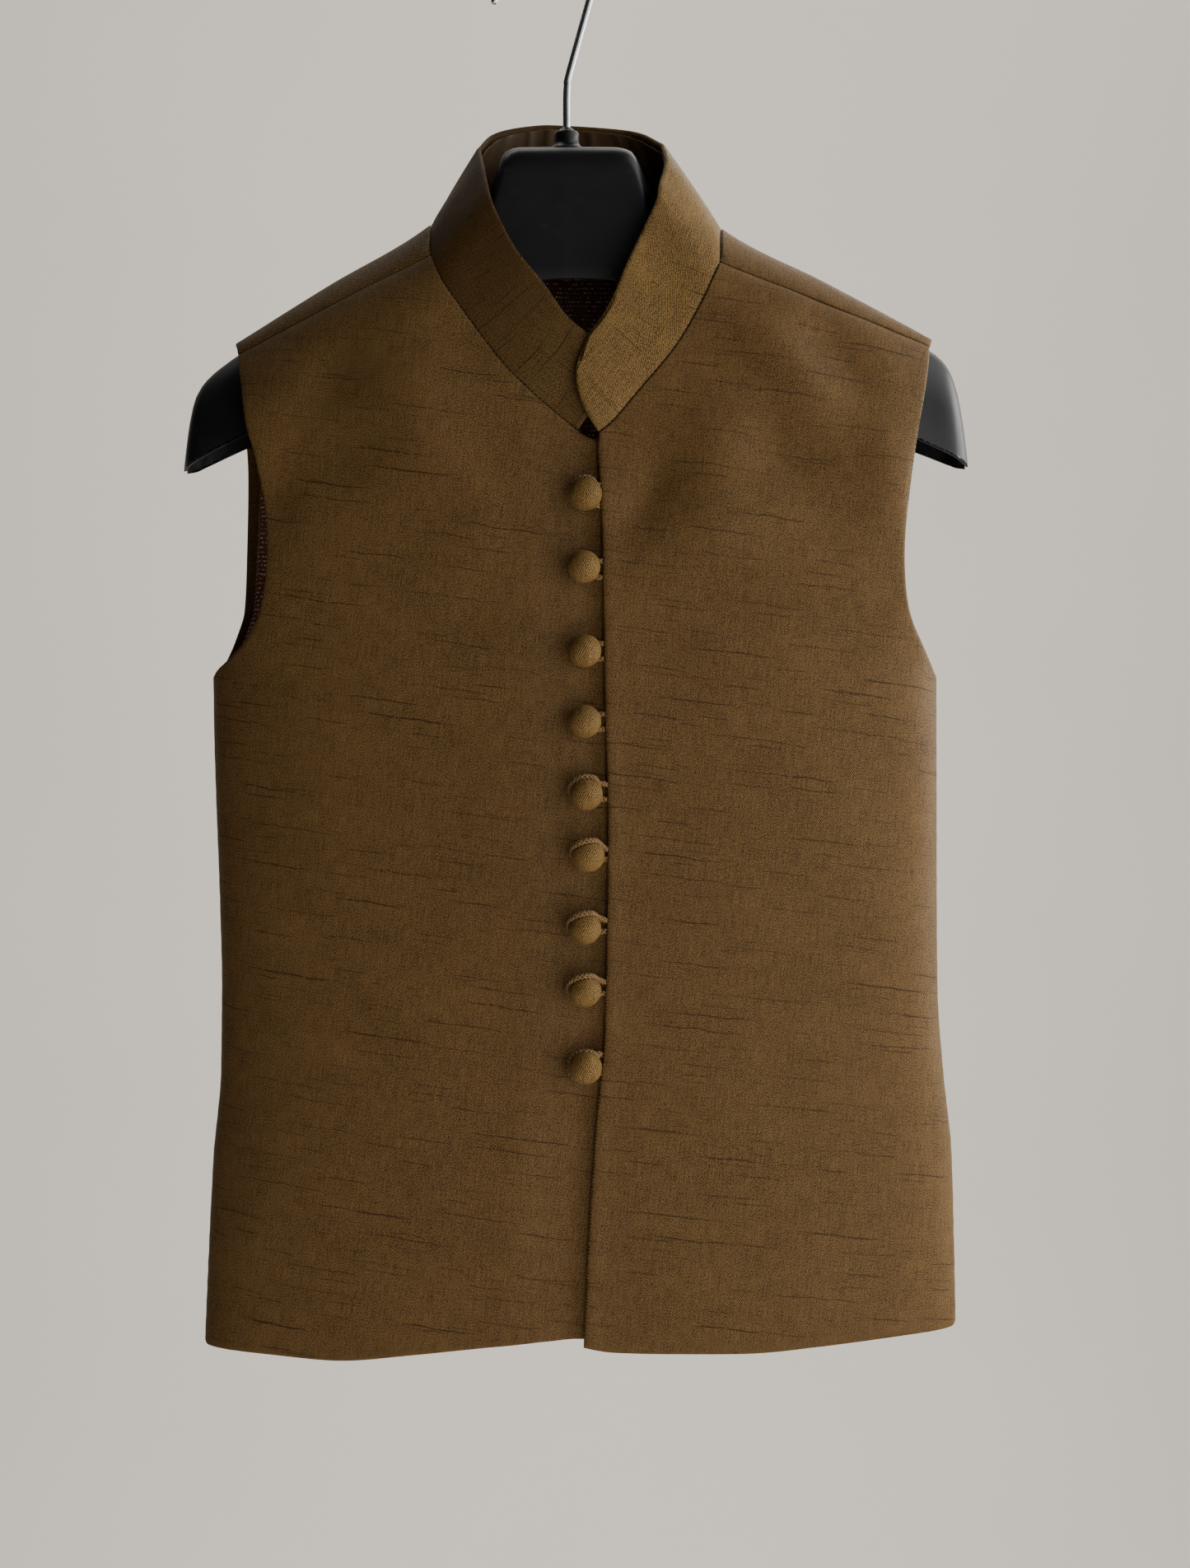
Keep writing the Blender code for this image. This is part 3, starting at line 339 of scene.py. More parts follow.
# Lighter creases that only the finished cloth has, in the same columns.
CREASES = {
    "front": (
        (-26, -296, 40, 62, 12, 0.6),
        (-96, -332, 26, -38, 10, 0.6),
        (-20, -372, 60, 84, 14, -0.5),
        (-104, -470, 70, 97, 16, 0.5),
        (-28, -540, 54, 80, 13, 0.4),
        (-122, -560, 44, 74, 11, -0.5),
        (138, -318, 30, 48, 10, 0.7),
        (60, -352, 58, 100, 13, 0.5),
        (148, -392, 40, 112, 10, 0.4),
        (140, -520, 60, 84, 13, 0.4),
        (62, -560, 50, 98, 12, 0.4),
        (130, -197, 26, -42, 10, 2.8),
        (108, -206, 34, -42, 12, -4.6),
        (108, -241, 36, -56, 12, 3.4),
        (58, -276, 26, -35, 13, -4.2),
        (151, -250, 32, 94, 13, -3.2),
        (109.4, -234, 7, 112, 2.4, -0.55),
        (-34, -196, 22, -40, 9, 1.4),
        (-116, -256, 34, 66, 12, 2.0),
        (-57, -228, 42, 98, 21, -5.0),
        (-92, -360, 16, 84, 4, -0.35),
        (-29, -522, 12, 96, 3.4, -0.3),
        (44, -262, 24, 66, 9, 3.4),
        (50, -476, 22, -34, 5, -1.0),
        (74, -252, 34, 84, 16, -4.4),
        (-92, -205, 30, 56, 13, 2.2),
        (-70, -590, 80, 84, 24, 1.8),
        (90, -590, 80, 96, 26, 1.6),
        (-60, -420, 110, 78, 34, -1.5),
        (105, -470, 130, 100, 36, -1.2),
        (-82, -238, 34, 12, 15, -2.4),
        (-30, -262, 30, 118, 12, -2.2),
    ),
    "back": (
        (-88, -232, 30, 26, 9, 0.9),
        (116, -240, 34, -30, 10, 0.9),
        (14, -210, 40, 4, 12, -0.8),
        (-100, -330, 40, 62, 12, 0.8),
        (130, -340, 38, -60, 12, 0.8),
        (20, -380, 90, 88, 16, 0.7),
        (-90, -520, 70, 96, 15, -0.7),
        (118, -540, 64, 82, 14, 0.7),
        (40, -470, 60, 76, 13, 0.6),
    ),
}

# Each ball's place, how far its loop rides over its top and along its side, and where the loop's
# two ends leave the lapping edge, above and below the ball's middle.
BUTTONS = Table(
    "number x z over along upper lower",
    (1, 18.7, -259.7, 0.1, 0.42, 4.6, -4.2),
    (2, 18.0, -291.0, 0.03, 0.0, 3.0, -4.0),
    (3, 18.4, -327.2, 0.03, 0.0, 3.4, -3.2),
    (4, 18.4, -357.7, 0.03, 0.0, 3.4, -3.2),
    (5, 19.1, -389.0, 0.75, 0.0, 4.0, -2.2),
    (6, 19.8, -415.6, 1.0, 0.0, 2.6, -1.6),
    (7, 18.4, -446.8, 1.0, 0.0, 2.9, -1.6),
    (8, 18.4, -473.8, 0.96, 0.0, 3.2, -1.6),
    (9, 18.7, -507.2, 0.0, 1.0, 5.2, -3.0),
)
# How far a loop stands in front of its ball's middle, at angles from its right side over its top.
LOOP_RIDE = Table(
    "angle over along",
    (35, -4.4, -5.2), (50, -1.4, -3.0), (66, 2.2, -0.8), (84, 4.4, 0.6), (102, 4.9, 0.2),
    (130, 4.0, -1.2), (154, 1.0, -2.4), (180, -3.6, -3.2), (212, -6.4, -4.0), (245, -7.05, -5.4),
    (290, -7.05, -7.05), (315, -7.05, -7.05),
)

# The hanger's stations along X: its top and low edge, half depth, height of the arch and squareness.
HANGER = Table(
    "x top low depth arch square",
    (-161.2, -240.5, -244.8, 4, 20, 2),
    (-160.2, -233, -244.2, 7.5, 24, 2),
    (-158.6, -221, -243.4, 10.5, 30, 2),
    (-156, -210.5, -242, 13, 34, 2),
    (-151, -203, -239.5, 15, 38, 2),
    (-144, -197, -236, 16, 40, 2),
    (-137, -192, -232.6, 16.8, 42, 2),
    (-96.5, -166, -213.5, 26, 43, 2),
    (-60, -144.8, -196, 29, 43, 2),
    (-44, -136, -189, 27, 38, 2.1),
    (-32, -128.5, -184, 23, 32, 2.4),
    (-24, -119, -181, 20.5, 24, 2.8),
    (-20, -108, -179, 20.5, 19, 3.2),
    (-17, -102.8, -176.5, 20.5, 17, 3.4),
    (-11, -101, -170, 20.5, 16, 3.6),
    (-1, -100.9, -162.8, 20.5, 16, 3.6),
    (11, -100.8, -161.8, 20.5, 16, 3.6),
    (31, -100.9, -162.6, 20.5, 16, 3.6),
    (35, -101.4, -168, 20.5, 16, 3.6),
    (39, -102.8, -175, 20.5, 17, 3.4),
    (42.5, -108, -179, 20.5, 19, 3.2),
    (47, -119, -181.5, 20.5, 24, 2.8),
    (57, -128.5, -186, 23, 32, 2.4),
    (71, -136.7, -192, 27, 38, 2.1),
    (87, -145.6, -199, 29, 43, 2),
    (125.5, -164.4, -216.5, 26.5, 43, 2),
    (172, -189.4, -235, 17, 42, 2),
    (178, -194, -237.5, 16, 40, 2),
    (182, -199.5, -239.2, 15, 38, 2),
    (185, -208, -240.4, 13, 34, 2),
    (187.4, -221, -241.6, 10.5, 30, 2),
    (188.8, -231, -242.2, 7.5, 24, 2),
    (189.8, -238.5, -242.8, 4, 20, 2),
)
# The straight share of its section, the most of its height that arches, and of its depth in a wall.
HANGER_STRAIGHT = 0.25
HANGER_ARCH_SHARE = 0.98
HANGER_WALL_SHARE = 0.22
# The back wall of the neck block ends higher than its front: how much, and between which X.
BLOCK_BACK_LIFT = 22.0
BLOCK_EDGES = ((-52.0, -14.0), (42.0, 80.0))
HANGER_SECTION_STEPS = 56
HANGER_STATION = 3.0
# The faint mould line down the hanger's middle: height, X and width.
MOULD_LINE = (0.18, 9.0, 1.4)

SOCKET_PROFILE = (
    (0.0, -100.3), (7.4, -100.3), (7.9, -100.1), (8.0, -99.7), (7.6, -99.3), (6.6, -98.6),
    (6.0, -97.8), (5.7, -96.9), (5.6, -95.2), (5.6, -93.2), (5.4, -92.5), (4.9, -91.9),
    (3.9, -91.4), (3.1, -91.0), (2.7, -90.4), (2.4, -90.1), (2.0, -90.3), (2.0, -95.8),
    (0.0, -95.8),
)
WIRE_FOOT_Z = -95.5
WIRE_BEND = ((-76.5, 0.0), (-71.0, 6.0), (-65.5, 12.5))
HOOK_LEAN = math.radians(14.8)
HOOK_SWEEP = math.radians(202)
HOOK_TIP = ((-22.4, -28.5), (-22.3, -31.8), (-22.6, -34.6))
# The wire's straight foot ends here; then the steps of its hook, its length and its roundness.
HOOK_STEPS = 20
WIRE_STRAIGHT_Z = -86.0
WIRE_STEPS = 150
WIRE_SIDES = 24
# A turned piece's edges are sharp from this angle.
SHARP_ANGLE = math.radians(50)
# The wire's last two rings, as shares of its radius.
WIRE_TIP = (0.86, 0.45)


def blend(low, high, at):
    """Rises smoothly from 0 at low to 1 at high."""
    t = min(1.0, max(0.0, (at - low) / (high - low)))
    return t * t * (3 - 2 * t)


def mix(a, b, t):
    """The value t of the way from a to b."""
    return a + (b - a) * t


def even_points(points, steps):
    """Points at equal spacing along a smooth curve through the given ones."""
    given = [Vector(p) for p in points]
    ends = [given[0] * 2 - given[1]] + given + [given[-1] * 2 - given[-2]]
    fine = []
    pieces = 16
    for i in range(1, len(ends) - 2):
        before, start, end, after = ends[i - 1 : i + 3]
        for k in range(pieces):
            t = k / pieces
            fine.append(
                0.5
                * (
                    2 * start
                    + (end - before) * t
                    + (2 * before - 5 * start + 4 * end - after) * t**2
                    + (3 * start - before - 3 * end + after) * t**3
                )
            )
    fine.append(given[-1])
    along = lengths_along(fine)
    result, i = [], 0
    for k in range(steps + 1):
        want = along[-1] * k / steps
        while i < len(along) - 2 and along[i + 1] < want:
            i += 1
        t = (want - along[i]) / max(along[i + 1] - along[i], 1e-9)
        result.append(fine[i].lerp(fine[i + 1], min(1.0, t)))
    return result


def lengths_along(points):
    """The length from the first point to each."""
    along = [0.0]
    for a, b in zip(points, points[1:]):
        along.append(along[-1] + (b - a).length)
    return along


def half_width(x, z):
    """From the form's middle to its side, on the side where x lies."""
    side = BODY.read("left" if x < MID_X else "right", z)
    return abs(side - MID_X)


def rise_over_arch(x, z):
    """0 on the shoulder ridge, 1 where the cloth has turned to hang straight."""
    below = min(1.0, max(0.0, (RIDGE.read("z", x) - z) / ARCH))
    return 1 - (1 - below) ** 2


def dents(folds, x, z, face):
    """How deep the folds on this face are at (x, z)."""
    total = 0.0
    for fold_x, fold_z, length, angle, width, depth in folds[face]:
        dx, dz = x - fold_x, z - fold_z
        reach = FOLD_REACH * max(length, width)
        if abs(dx) > reach or abs(dz) > reach:
            continue
        turn = math.radians(angle)
        along = (dx * math.cos(turn) + dz * math.sin(turn)) / length
        across = (-dx * math.sin(turn) + dz * math.cos(turn)) / width
        total += depth * math.exp(-(across**2) - along**4 - along**2)
    return total


def on_form(x, z, face):
    """The point of the worn form at (x, z) on the front or the back."""
    share = min(1.0, abs(x - MID_X) / half_width(x, z))
    depth = BODY.read(face, z) * (1 - share**ROUNDNESS) ** (1 / ROUNDNESS)
    depth *= math.sqrt(rise_over_arch(x, z))
    depth = max(0.0, depth - dents(FOLDS, x, z, face) * blend(12, 26, depth))
    return Vector((x, -depth if face == "front" else depth, z))


def form_value(p):
    """Below 0 inside the worn form and above 0 outside."""
    x, y, z = p
    share = abs(x - MID_X) / half_width(x, z)
    inside = 1 - share**ROUNDNESS
    inside = math.copysign(abs(inside) ** (2 / ROUNDNESS), inside)
    depth = BODY.read("front" if y < 0 else "back", z)
    return (y / depth) ** 2 - rise_over_arch(x, z) * inside


def outward(p):
    """The unit vector that points out of the worn form at p."""
    step = 0.01
    slope = []
    for axis in range(3):
        move = Vector([step if k == axis else 0.0 for k in range(3)])
        slope.append(form_value(p + move) - form_value(p - move))
    return Vector(slope).normalized()


def arch_z(x, turn):
    """The height of the shoulder's arch at an angle from the ridge."""
    return RIDGE.read("z", x) - ARCH * (1 - math.cos(turn))


def over_shoulder(x, turn):
    """The form's point at an angle past the ridge: 90 degrees hangs straight, below 0 is in front."""
    return on_form(x, arch_z(x, turn), "front" if turn < 0 else "back")


def turn_at(x, z):
    """The angle from the ridge at which the arch has come down to z."""
    return math.acos(max(-1.0, 1 - max(0.0, RIDGE.read("z", x) - z) / ARCH))


def arch_place(p):
    """A point near the form above the arch's foot, as (x, turn)."""
    top = RIDGE.read("z", p.x)
    full = abs(on_form(p.x, top - ARCH, "front" if p.y < 0 else "back").y)
    return p.x, math.atan2(p.y / full, 1 - (top - p.z) / ARCH)


def x_angle(x, z):
    """The place of x round an oval section, from -90 to 90 degrees."""
    return math.asin(max(-1.0, min(1.0, (x - MID_X) / half_width(x, z))))


def x_from_angle(angle, z):
    """The X of a place that far round an oval section."""
    side = MID_X + math.copysign(1.0, angle)
    return MID_X + half_width(side, z) * math.sin(angle)


def hem_corner_rise(x, z, face):
    """How far the rounded corner beside the vent lifts the hem at a place of the hem."""
    side = BODY.read("left" if x < MID_X else "right", z)
    if abs(x - side) >= HEM_CORNER:
        return 0.0
    away = math.hypot(x - side, on_form(x, z, face).y)
    if away >= HEM_CORNER:
        return 0.0
    return HEM_CORNER - math.sqrt(HEM_CORNER**2 - (HEM_CORNER - away) ** 2)


def body_place(angle, level, hem, face):
    """(x, z) at an angle round the body, level of the way from the hem up to the underarm."""
    z = mix(HEM_Z, UNDERARM_Z, level)
    for _ in range(SETTLING):
        x = x_from_angle(angle, z)
        low = hem.read("z", x)
        low += hem_corner_rise(x, low, face)
        z = mix(low, UNDERARM_Z, level)
    return x_from_angle(angle, z), z


def side_gap(z):
    """Half the gap between front and back along the side, which widens down the open vent."""
    return SIDE_GAP + VENT_SPREAD * blend(VENT_TOP_Z, -635, z)


def lap_tuck(x, z):
    """How far the right front lies behind the form, under the left front's lapping edge."""
    edge = LAP_EDGE.read("x", z)
    return LAP_TUCK * blend(edge - LAP_RAMP[0], edge - LAP_RAMP[1], x)


def bell(at, width):
    """1 at 0, falling away smoothly on both sides."""
    return math.exp(-((at / width) ** 2))


def oval_arc():
    """The length along an oval section from the middle, by the share of its half width."""
    last, total, lengths = Vector((0, OVAL_FLATNESS)), 0.0, [0.0]
    for k in range(1, OVAL_STEPS + 1):
        share = math.sin(k / OVAL_STEPS * math.pi / 2)
        p = Vector((share, OVAL_FLATNESS * (1 - share**ROUNDNESS) ** (1 / ROUNDNESS)))
        total += (p - last).length
        lengths.append(total)
        last = p
    return lengths


OVAL_ARC = oval_arc()


def laid_flat(x, z, turn=None):
    """(across, up) of a place once its cloth is laid flat; turn is given beyond the arch's foot."""
    angle = x_angle(x, z)
    place = abs(angle) / (math.pi / 2) * (len(OVAL_ARC) - 1)
    i = min(int(place), len(OVAL_ARC) - 2)
    arc = mix(OVAL_ARC[i], OVAL_ARC[i + 1], place - i)
    across = math.copysign(arc * half_width(x, z), angle)
    foot = RIDGE.read("z", x) - ARCH
    if z < foot and turn is None:
        return across, z
    turn = turn_at(x, z) if turn is None else turn
    return across, foot + (math.pi / 2 - turn) * ARCH


def relief(x, z, face):
    """Fine creases and the cloth's own unevenness, outwards from the form."""
    total = 0.0
    for height, wide, tall, front_seed, back_seed in UNEVENNESS:
        seed = front_seed if face == "front" else back_seed
        total += height * noise.noise((x / wide, z / tall, seed))
    if face == "front":
        total += lap_step(x - LAP_EDGE.read("x", z)) * blend(*LAP_STEP_START, z)
    return total - dents(CREASES, x, z, face)


def lap_step(past):
    """The lap's edge stands a little off the cloth below it, past millimetres in from the edge."""
    return sum(height * bell(past - place, width) for height, place, width in LAP_STEPS)


def pressed_step(x, z):
    """The faint ridges where the vent facing and the hem are turned up inside and pressed."""
    side = BODY.read("left" if x < MID_X else "right", z)
    facing = abs(abs(x - side) - mix(*VENT_FACING, blend(BODY_END_Z, VENT_TOP_Z, z)))
    depth, width = VENT_RIDGE
    ridge = -depth * bell(facing, width) * blend(VENT_TOP_Z + VENT_FADE, VENT_TOP_Z - VENT_FADE, z)
    depth, width = HEM_RIDGE
    return ridge - depth * bell(z - HEM_TURN_Z + HEM_TURN_SLOPE * x, width)


def add_object(name, data):
    """A new object in the scene, with that mesh, curve, lamp or camera."""
    thing = bpy.data.objects.new(name, data)
    bpy.context.scene.collection.objects.link(thing)
    return thing


def circle(sides):
    """(angle, cosine, sine) at even places round a circle."""
    angles = [2 * math.pi * k / sides for k in range(sides)]
    return [(angle, math.cos(angle), math.sin(angle)) for angle in angles]


def make_piece(name, points, faces, materials, uvs=None, slots=None):
    """A mesh in metres from points in millimetres, with its place on the flat cloth where given."""
    mesh = bpy.data.meshes.new(name)
    mesh.from_pydata([Vector(p) * MM for p in points], [], faces)
    for material in materials:
        mesh.materials.append(material)
    if slots is not None:
        mesh.polygons.foreach_set("material_index", slots)
    if uvs is not None:
        layer = mesh.uv_layers.new(name="cloth")
        corner = [0] * len(mesh.loops)
        mesh.loops.foreach_get("vertex_index", corner)
        layer.data.foreach_set("uv", [c * MM for v in corner for c in uvs[v]])
    mesh.shade_smooth()
    mesh.update()
    return add_object(name, mesh)


def stand_for(piece, slot, *nodes):
    """Puts a finished piece on the body, in place of its CAD nodes; slot is not used."""
    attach(piece, "root")
    if nodes:
        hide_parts(*nodes)


def sew_on(piece, slot, node, flat, held, *rests_on):
    """Puts a cloth piece in its solid's place and works out its flat cut's size and area, which are not
    kept.
    """
    stand_for(piece, slot, node)
    flat_size(flat)
    flat_area(flat)


def grid_normals(rows, out_from=None):
    """Normals of a grid of points, by the differences to the neighbours."""
    normals = []
    last_row, last_column = len(rows) - 1, len(rows[0]) - 1
    for i, row in enumerate(rows):
        line = []
        for j in range(len(row)):
            up = rows[min(i + 1, last_row)][j] - rows[max(i - 1, 0)][j]
            across = row[min(j + 1, last_column)] - row[max(j - 1, 0)]
            line.append(up.cross(across).normalized())
        normals.append(line)
    if out_from is not None:
        i, j = last_row // 2, last_column // 2
        if normals[i][j].dot(rows[i][j] - Vector(out_from)) < 0:
            normals = [[-n for n in line] for line in normals]
    return normals


def rim_path(height, width):
    """The (row, column) places round a grid's edge, once round."""
    path = [(0, j) for j in range(width)]
    path += [(i, width - 1) for i in range(1, height)]
    path += [(height - 1, j) for j in range(width - 2, -1, -1)]
    path += [(i, 0) for i in range(height - 2, 0, -1)]
    return path


def sheet_shell(name, outer, normals, thickness, flat, materials, inner_slot=None, at_seam=None):
    """A cloth shell: a grid of outer points, the same moved in, and a rounded edge all round.

    thickness is one number or one for each row; flat gives each point's place on the flat cloth;
    inner_slot(i, j) gives the material slot of an inner face, and at_seam(i, j) the small radius
    of an edge that is sewn to a neighbour, or 0 where the edge is free and fully rounded.
    """
    height, width = len(outer), len(outer[0])
    each = thickness if isinstance(thickness, list) else [thickness] * height
    path = rim_path(height, width)
    inner = [[p - n * t for p, n in zip(row, line)] for row, line, t in zip(outer, normals, each)]
    rings = [[] for _ in range(RIM_RINGS)]
    shifts = []
    middle = sum((Vector(place) for row in flat for place in row), Vector((0, 0))) / (height * width)
    ring_flat = []
    for k, (i, j) in enumerate(path):
        before, after = path[k - 1], path[(k + 1) % len(path)]
        n = normals[i][j]
        along = outer[after[0]][after[1]] - outer[before[0]][before[1]]
        side = along.cross(n).normalized()
        inward = outer[min(max(i, 1), height - 2)][min(max(j, 1), width - 2)] - outer[i][j]
        if side.dot(inward) > 0:
            side = -side
        half = each[i] / 2
        radius = min(half, (at_seam and at_seam(i, j)) or half)
        for r in range(RIM_RINGS):
            turn = math.pi * (r + 1) / (RIM_RINGS + 1)
            flank = (r < RIM_RINGS // 2) - (r > RIM_RINGS // 2)
            level = (half - radius) * flank + radius * math.cos(turn)
            rings[r].append(outer[i][j] + n * (level - half) - side * radius * (1 - math.sin(turn)))
        shifts.append(-side * radius)
        away = (Vector(flat[i][j]) - middle).normalized()
        ring_flat.append([Vector(flat[i][j]) + away * (RIM_UV_STEP * (r + 1)) for r in range(RIM_RINGS)])
    outer = [list(row) for row in outer]
    for (i, j), shift in zip(path, shifts):
        outer[i][j] = outer[i][j] + shift
        inner[i][j] = inner[i][j] + shift
    points = [p for row in outer for p in row] + [p for row in inner for p in row]
    uvs = [tuple(place) for row in flat for place in row]
    uvs += [(place[0] + INNER_UV_SHIFT, place[1]) for row in flat for place in row]
    back, rim_start = height * width, 2 * height * width
    for r in range(RIM_RINGS):
        points += rings[r]
        uvs += [tuple(spot[r]) for spot in ring_flat]
    faces, slots = [], []
    for i in range(height - 1):
        for j in range(width - 1):
            a, b = i * width + j, i * width + j + 1
            c, d = b + width, a + width
            faces += [[a, b, c, d], [back + d, back + c, back + b, back + a]]
            slots += [0, inner_slot(i, j) if inner_slot else 0]
    count = len(path)
    edge = [i * width + j for i, j in path]
    layers = [edge] + [[rim_start + r * count + k for k in range(count)] for r in range(RIM_RINGS)]
    layers.append([back + e for e in edge])
    for upper, lower in zip(layers, layers[1:]):
        for k in range(count):
            after = (k + 1) % count
            faces.append([upper[after], upper[k], lower[k], lower[after]])
            slots.append(0)
    piece = make_piece(name, points, faces, materials, uvs, slots)
    turn_outwards(piece)
    return piece


def turn_outwards(piece):
    """Flips a closed mesh that is inside out."""
    mesh = piece.data
    volume = 0.0
    for face in mesh.polygons:
        corners = [mesh.vertices[v].co for v in face.vertices]
        for b, c in zip(corners[1:], corners[2:]):
            volume += corners[0].dot(b.cross(c))
    if volume < 0:
        mesh.flip_normals()


def move_off(line, amount, towards):
    """A flat outline of (x, z) points moved sideways by amount, on the side where towards lies."""
    moved = []
    for i, p in enumerate(line):
        along = line[min(i + 1, len(line) - 1)] - line[max(i - 1, 0)]
        side = Vector((along.y, -along.x)).normalized()
        if side.dot(Vector(towards) - p) < 0:
            side = -side
        moved.append(p + side * amount)
    return moved


def turned_grain(place, slope):
    """A flat place in a cloth whose weft falls to the right by slope degrees."""
    across, up = place
    lean = math.radians(slope)
    return (
        across * math.cos(lean) - up * math.sin(lean),
        across * math.sin(lean) + up * math.cos(lean),
    )


def moved_out(points, normals, amount):
    """A grid of points, each moved along its normal by amount(i, j, p)."""
    return [
        [p + n * amount(i, j, p) for j, (p, n) in enumerate(zip(row, line))]
        for i, (row, line) in enumerate(zip(points, normals))
    ]


def sink_at_seams(points, normals, side, depth):
    """Rounds a sheet down and puckers it finely towards the side that is a seam."""
    last_row, last_column = len(points) - 1, len(points[0]) - 1

    def amount(i, j, p):
        row, column, steps = {
            "bottom": (0, j, i),
            "top": (last_row, j, last_row - i),
            "last": (i, last_column, last_column - j),
        }[side]
        if steps > SEAM_STEPS:
            return 0.0
        away = (p - points[row][column]).length
        along = i if side == "last" else j
        pucker = noise.noise((along * 0.62, 4.5, len(side))) + 0.6 * math.sin(along * 1.9)
        fine = PUCKER_DEPTH * pucker * math.exp(-away / PUCKER_REACH) * min(1.0, away / PUCKER_RISE)
        return -depth * bell(away, SEAM_WIDTH) - fine

    return moved_out(points, normals, amount)


def front_places(edge, hem, side, neckline, armhole):
    """A front's (x, z) places: rows from the hem up to the shoulder seam, columns to the side."""
    shares = [(k / FRONT_COLUMNS) ** COLUMN_CROWDING for k in range(FRONT_COLUMNS + 1)]
    places = []
    for i in range(BODY_ROWS + 1):
        level = i / BODY_ROWS
        z = mix(HEM_Z, UNDERARM_Z, level)
        start, end = x_angle(edge.read("x", z), z), x_angle(BODY.read(side, z), z)
        places.append([body_place(mix(start, end, share), level, hem, "front") for share in shares])
    corner = neckline[0]
    reach = corner.x - edge.read("x", corner.y)
    inner_points = []
    for k in range(1, UPPER_ROWS + 1):
        z = mix(UNDERARM_Z, corner.y, 1 - (1 - k / (UPPER_ROWS + 1)) ** ROW_CROWDING)
        x = edge.read("x", z) + reach * blend(corner.y - CORNER_TURN, corner.y, z)
        inner_points.append(Vector((x, z)))
    inner_points += neckline
    outer_points = even_points(armhole, len(inner_points))[1:]
    for inner, outer in zip(inner_points, outer_points):
        line = []
        start, end = x_angle(inner.x, inner.y), x_angle(outer.x, outer.y)
        for share in shares:
            z = inner.y
            for _ in range(SETTLING):
                x = x_from_angle(mix(start, end, share), z)
                z = mix(inner.y, outer.y, (x - inner.x) / (outer.x - inner.x))
            line.append((x, z))
        line[0], line[-1] = tuple(inner), tuple(outer)
        places.append(line)
    return places


def front_panel(name, node, edge, hem, neckline, armhole, materials, tucked, slope):
    """A front: rows from the hem up to the shoulder seam, columns from the middle to the side."""
    side = "right" if neckline[-1].x > MID_X else "left"
    points, normals, flat = [], [], []
    for line in front_places(edge, hem, side, neckline, armhole):
        spots, directions = [], []
        for x, z in line:
            p = on_form(x, z, "front")
            p.y = min(p.y, -side_gap(z))
            n = outward(p)
            rise = (relief(x, z, "front") + pressed_step(x, z)) * blend(*CALM_EDGE, -p.y)
            if tucked:
                rise -= lap_tuck(x, z)
            spots.append(p + n * rise)
            directions.append(n)
        points.append(spots)
        normals.append(directions)
        flat.append([turned_grain(laid_flat(x, z), slope) for x, z in line])
    points = sink_at_seams(points, normals, "last", SEAM_SINK)
    points = sink_at_seams(points, normals, "top", SHOULDER_SINK)
    last_row = len(points) - 1

    def inner_slot(i, j):
        columns, rows = VENT_FACING_STEPS
        at_vent = j > FRONT_COLUMNS - columns and i < rows
        at_an_end = i < FACING_STEPS or i > last_row - SHOULDER_FACING
        return 0 if at_vent or at_an_end or (not tucked and j < FACING_STEPS) else 1

    def at_seam(i, j):
        if i == last_row:
            return SHOULDER_ROUND
        side_seam = j == FRONT_COLUMNS and VENT_ROW < i <= BODY_ROWS
        return SEAM_ROUND * (side_seam or (j == 0 and i > BODY_ROWS + UPPER_ROWS))

    piece = sheet_shell(name, points, normals, FRONT_WALL, flat, materials, inner_slot, at_seam)
    sew_on(piece, "slub_silk", node, flat, "hung", "hanger_form")


def flat_size(flat):
    """The width and length of the flat cloth, in metres."""
    across = [place[0] for row in flat for place in row]
    up = [place[1] for row in flat for place in row]
    return ((max(across) - min(across)) * MM, (max(up) - min(up)) * MM)


def flat_area(flat):
    """The area of the flat cloth, in square metres."""
    total = 0.0
    for row, above in zip(flat, flat[1:]):
        for j in range(len(row) - 1):
            a, b, c, d = row[j], row[j + 1], above[j + 1], above[j]
            total += abs((c[0] - a[0]) * (d[1] - b[1]) - (d[0] - b[0]) * (c[1] - a[1])) / 2
    return total * MM * MM


def neck_to_ridge(point, side):
    """The neckline from a front's neck point back to the ridge, as (x, z, face)."""
    places = []
    for k in range(RIDGE_STEPS):
        t = k / RIDGE_STEPS
        x = mix(point.x, MID_X + side * BACK_NECK_HALF_WIDTH, t)
        places.append((x, arch_z(x, turn_at(point.x, point.y) * (1 - t)), "front"))
    return places


def neck_places():
    """The neckline round the back as (x, z, face), from the right neck point to the left one."""
    places = neck_to_ridge(Vector(RIGHT_NECKLINE[-1]), -1)
    angles = [math.pi * k / HALF_OVAL_STEPS for k in range(HALF_OVAL_STEPS + 1)]
    wide, deep = BACK_NECK_HALF_WIDTH, BACK_NECK_DEPTH
    half_oval = [(-wide * math.cos(angle), deep * math.sin(angle)) for angle in angles]
    for p in even_points(half_oval, BACK_NECK_STEPS):
        x = MID_X + p.x
        full = on_form(x, RIDGE.read("z", x) - ARCH, "back").y
        turn = math.asin(min(NECK_TURN_MOST, max(0.0, p.y / full)))
        places.append((x, arch_z(x, turn), "back"))
    return places + neck_to_ridge(Vector(LEFT_NECKLINE[-1]), 1)[::-1]


def shoulder_tops(start, end, first):
    """Where the back's columns end along a shoulder seam, as (x, turn)."""
    tops = []
    for k in range(SHOULDER_STEPS):
        place = Vector(start).lerp(Vector(end), (k + first) / SHOULDER_STEPS)
        tops.append((place.x, -turn_at(place.x, place.y + SEAM_GAP)))
    return tops


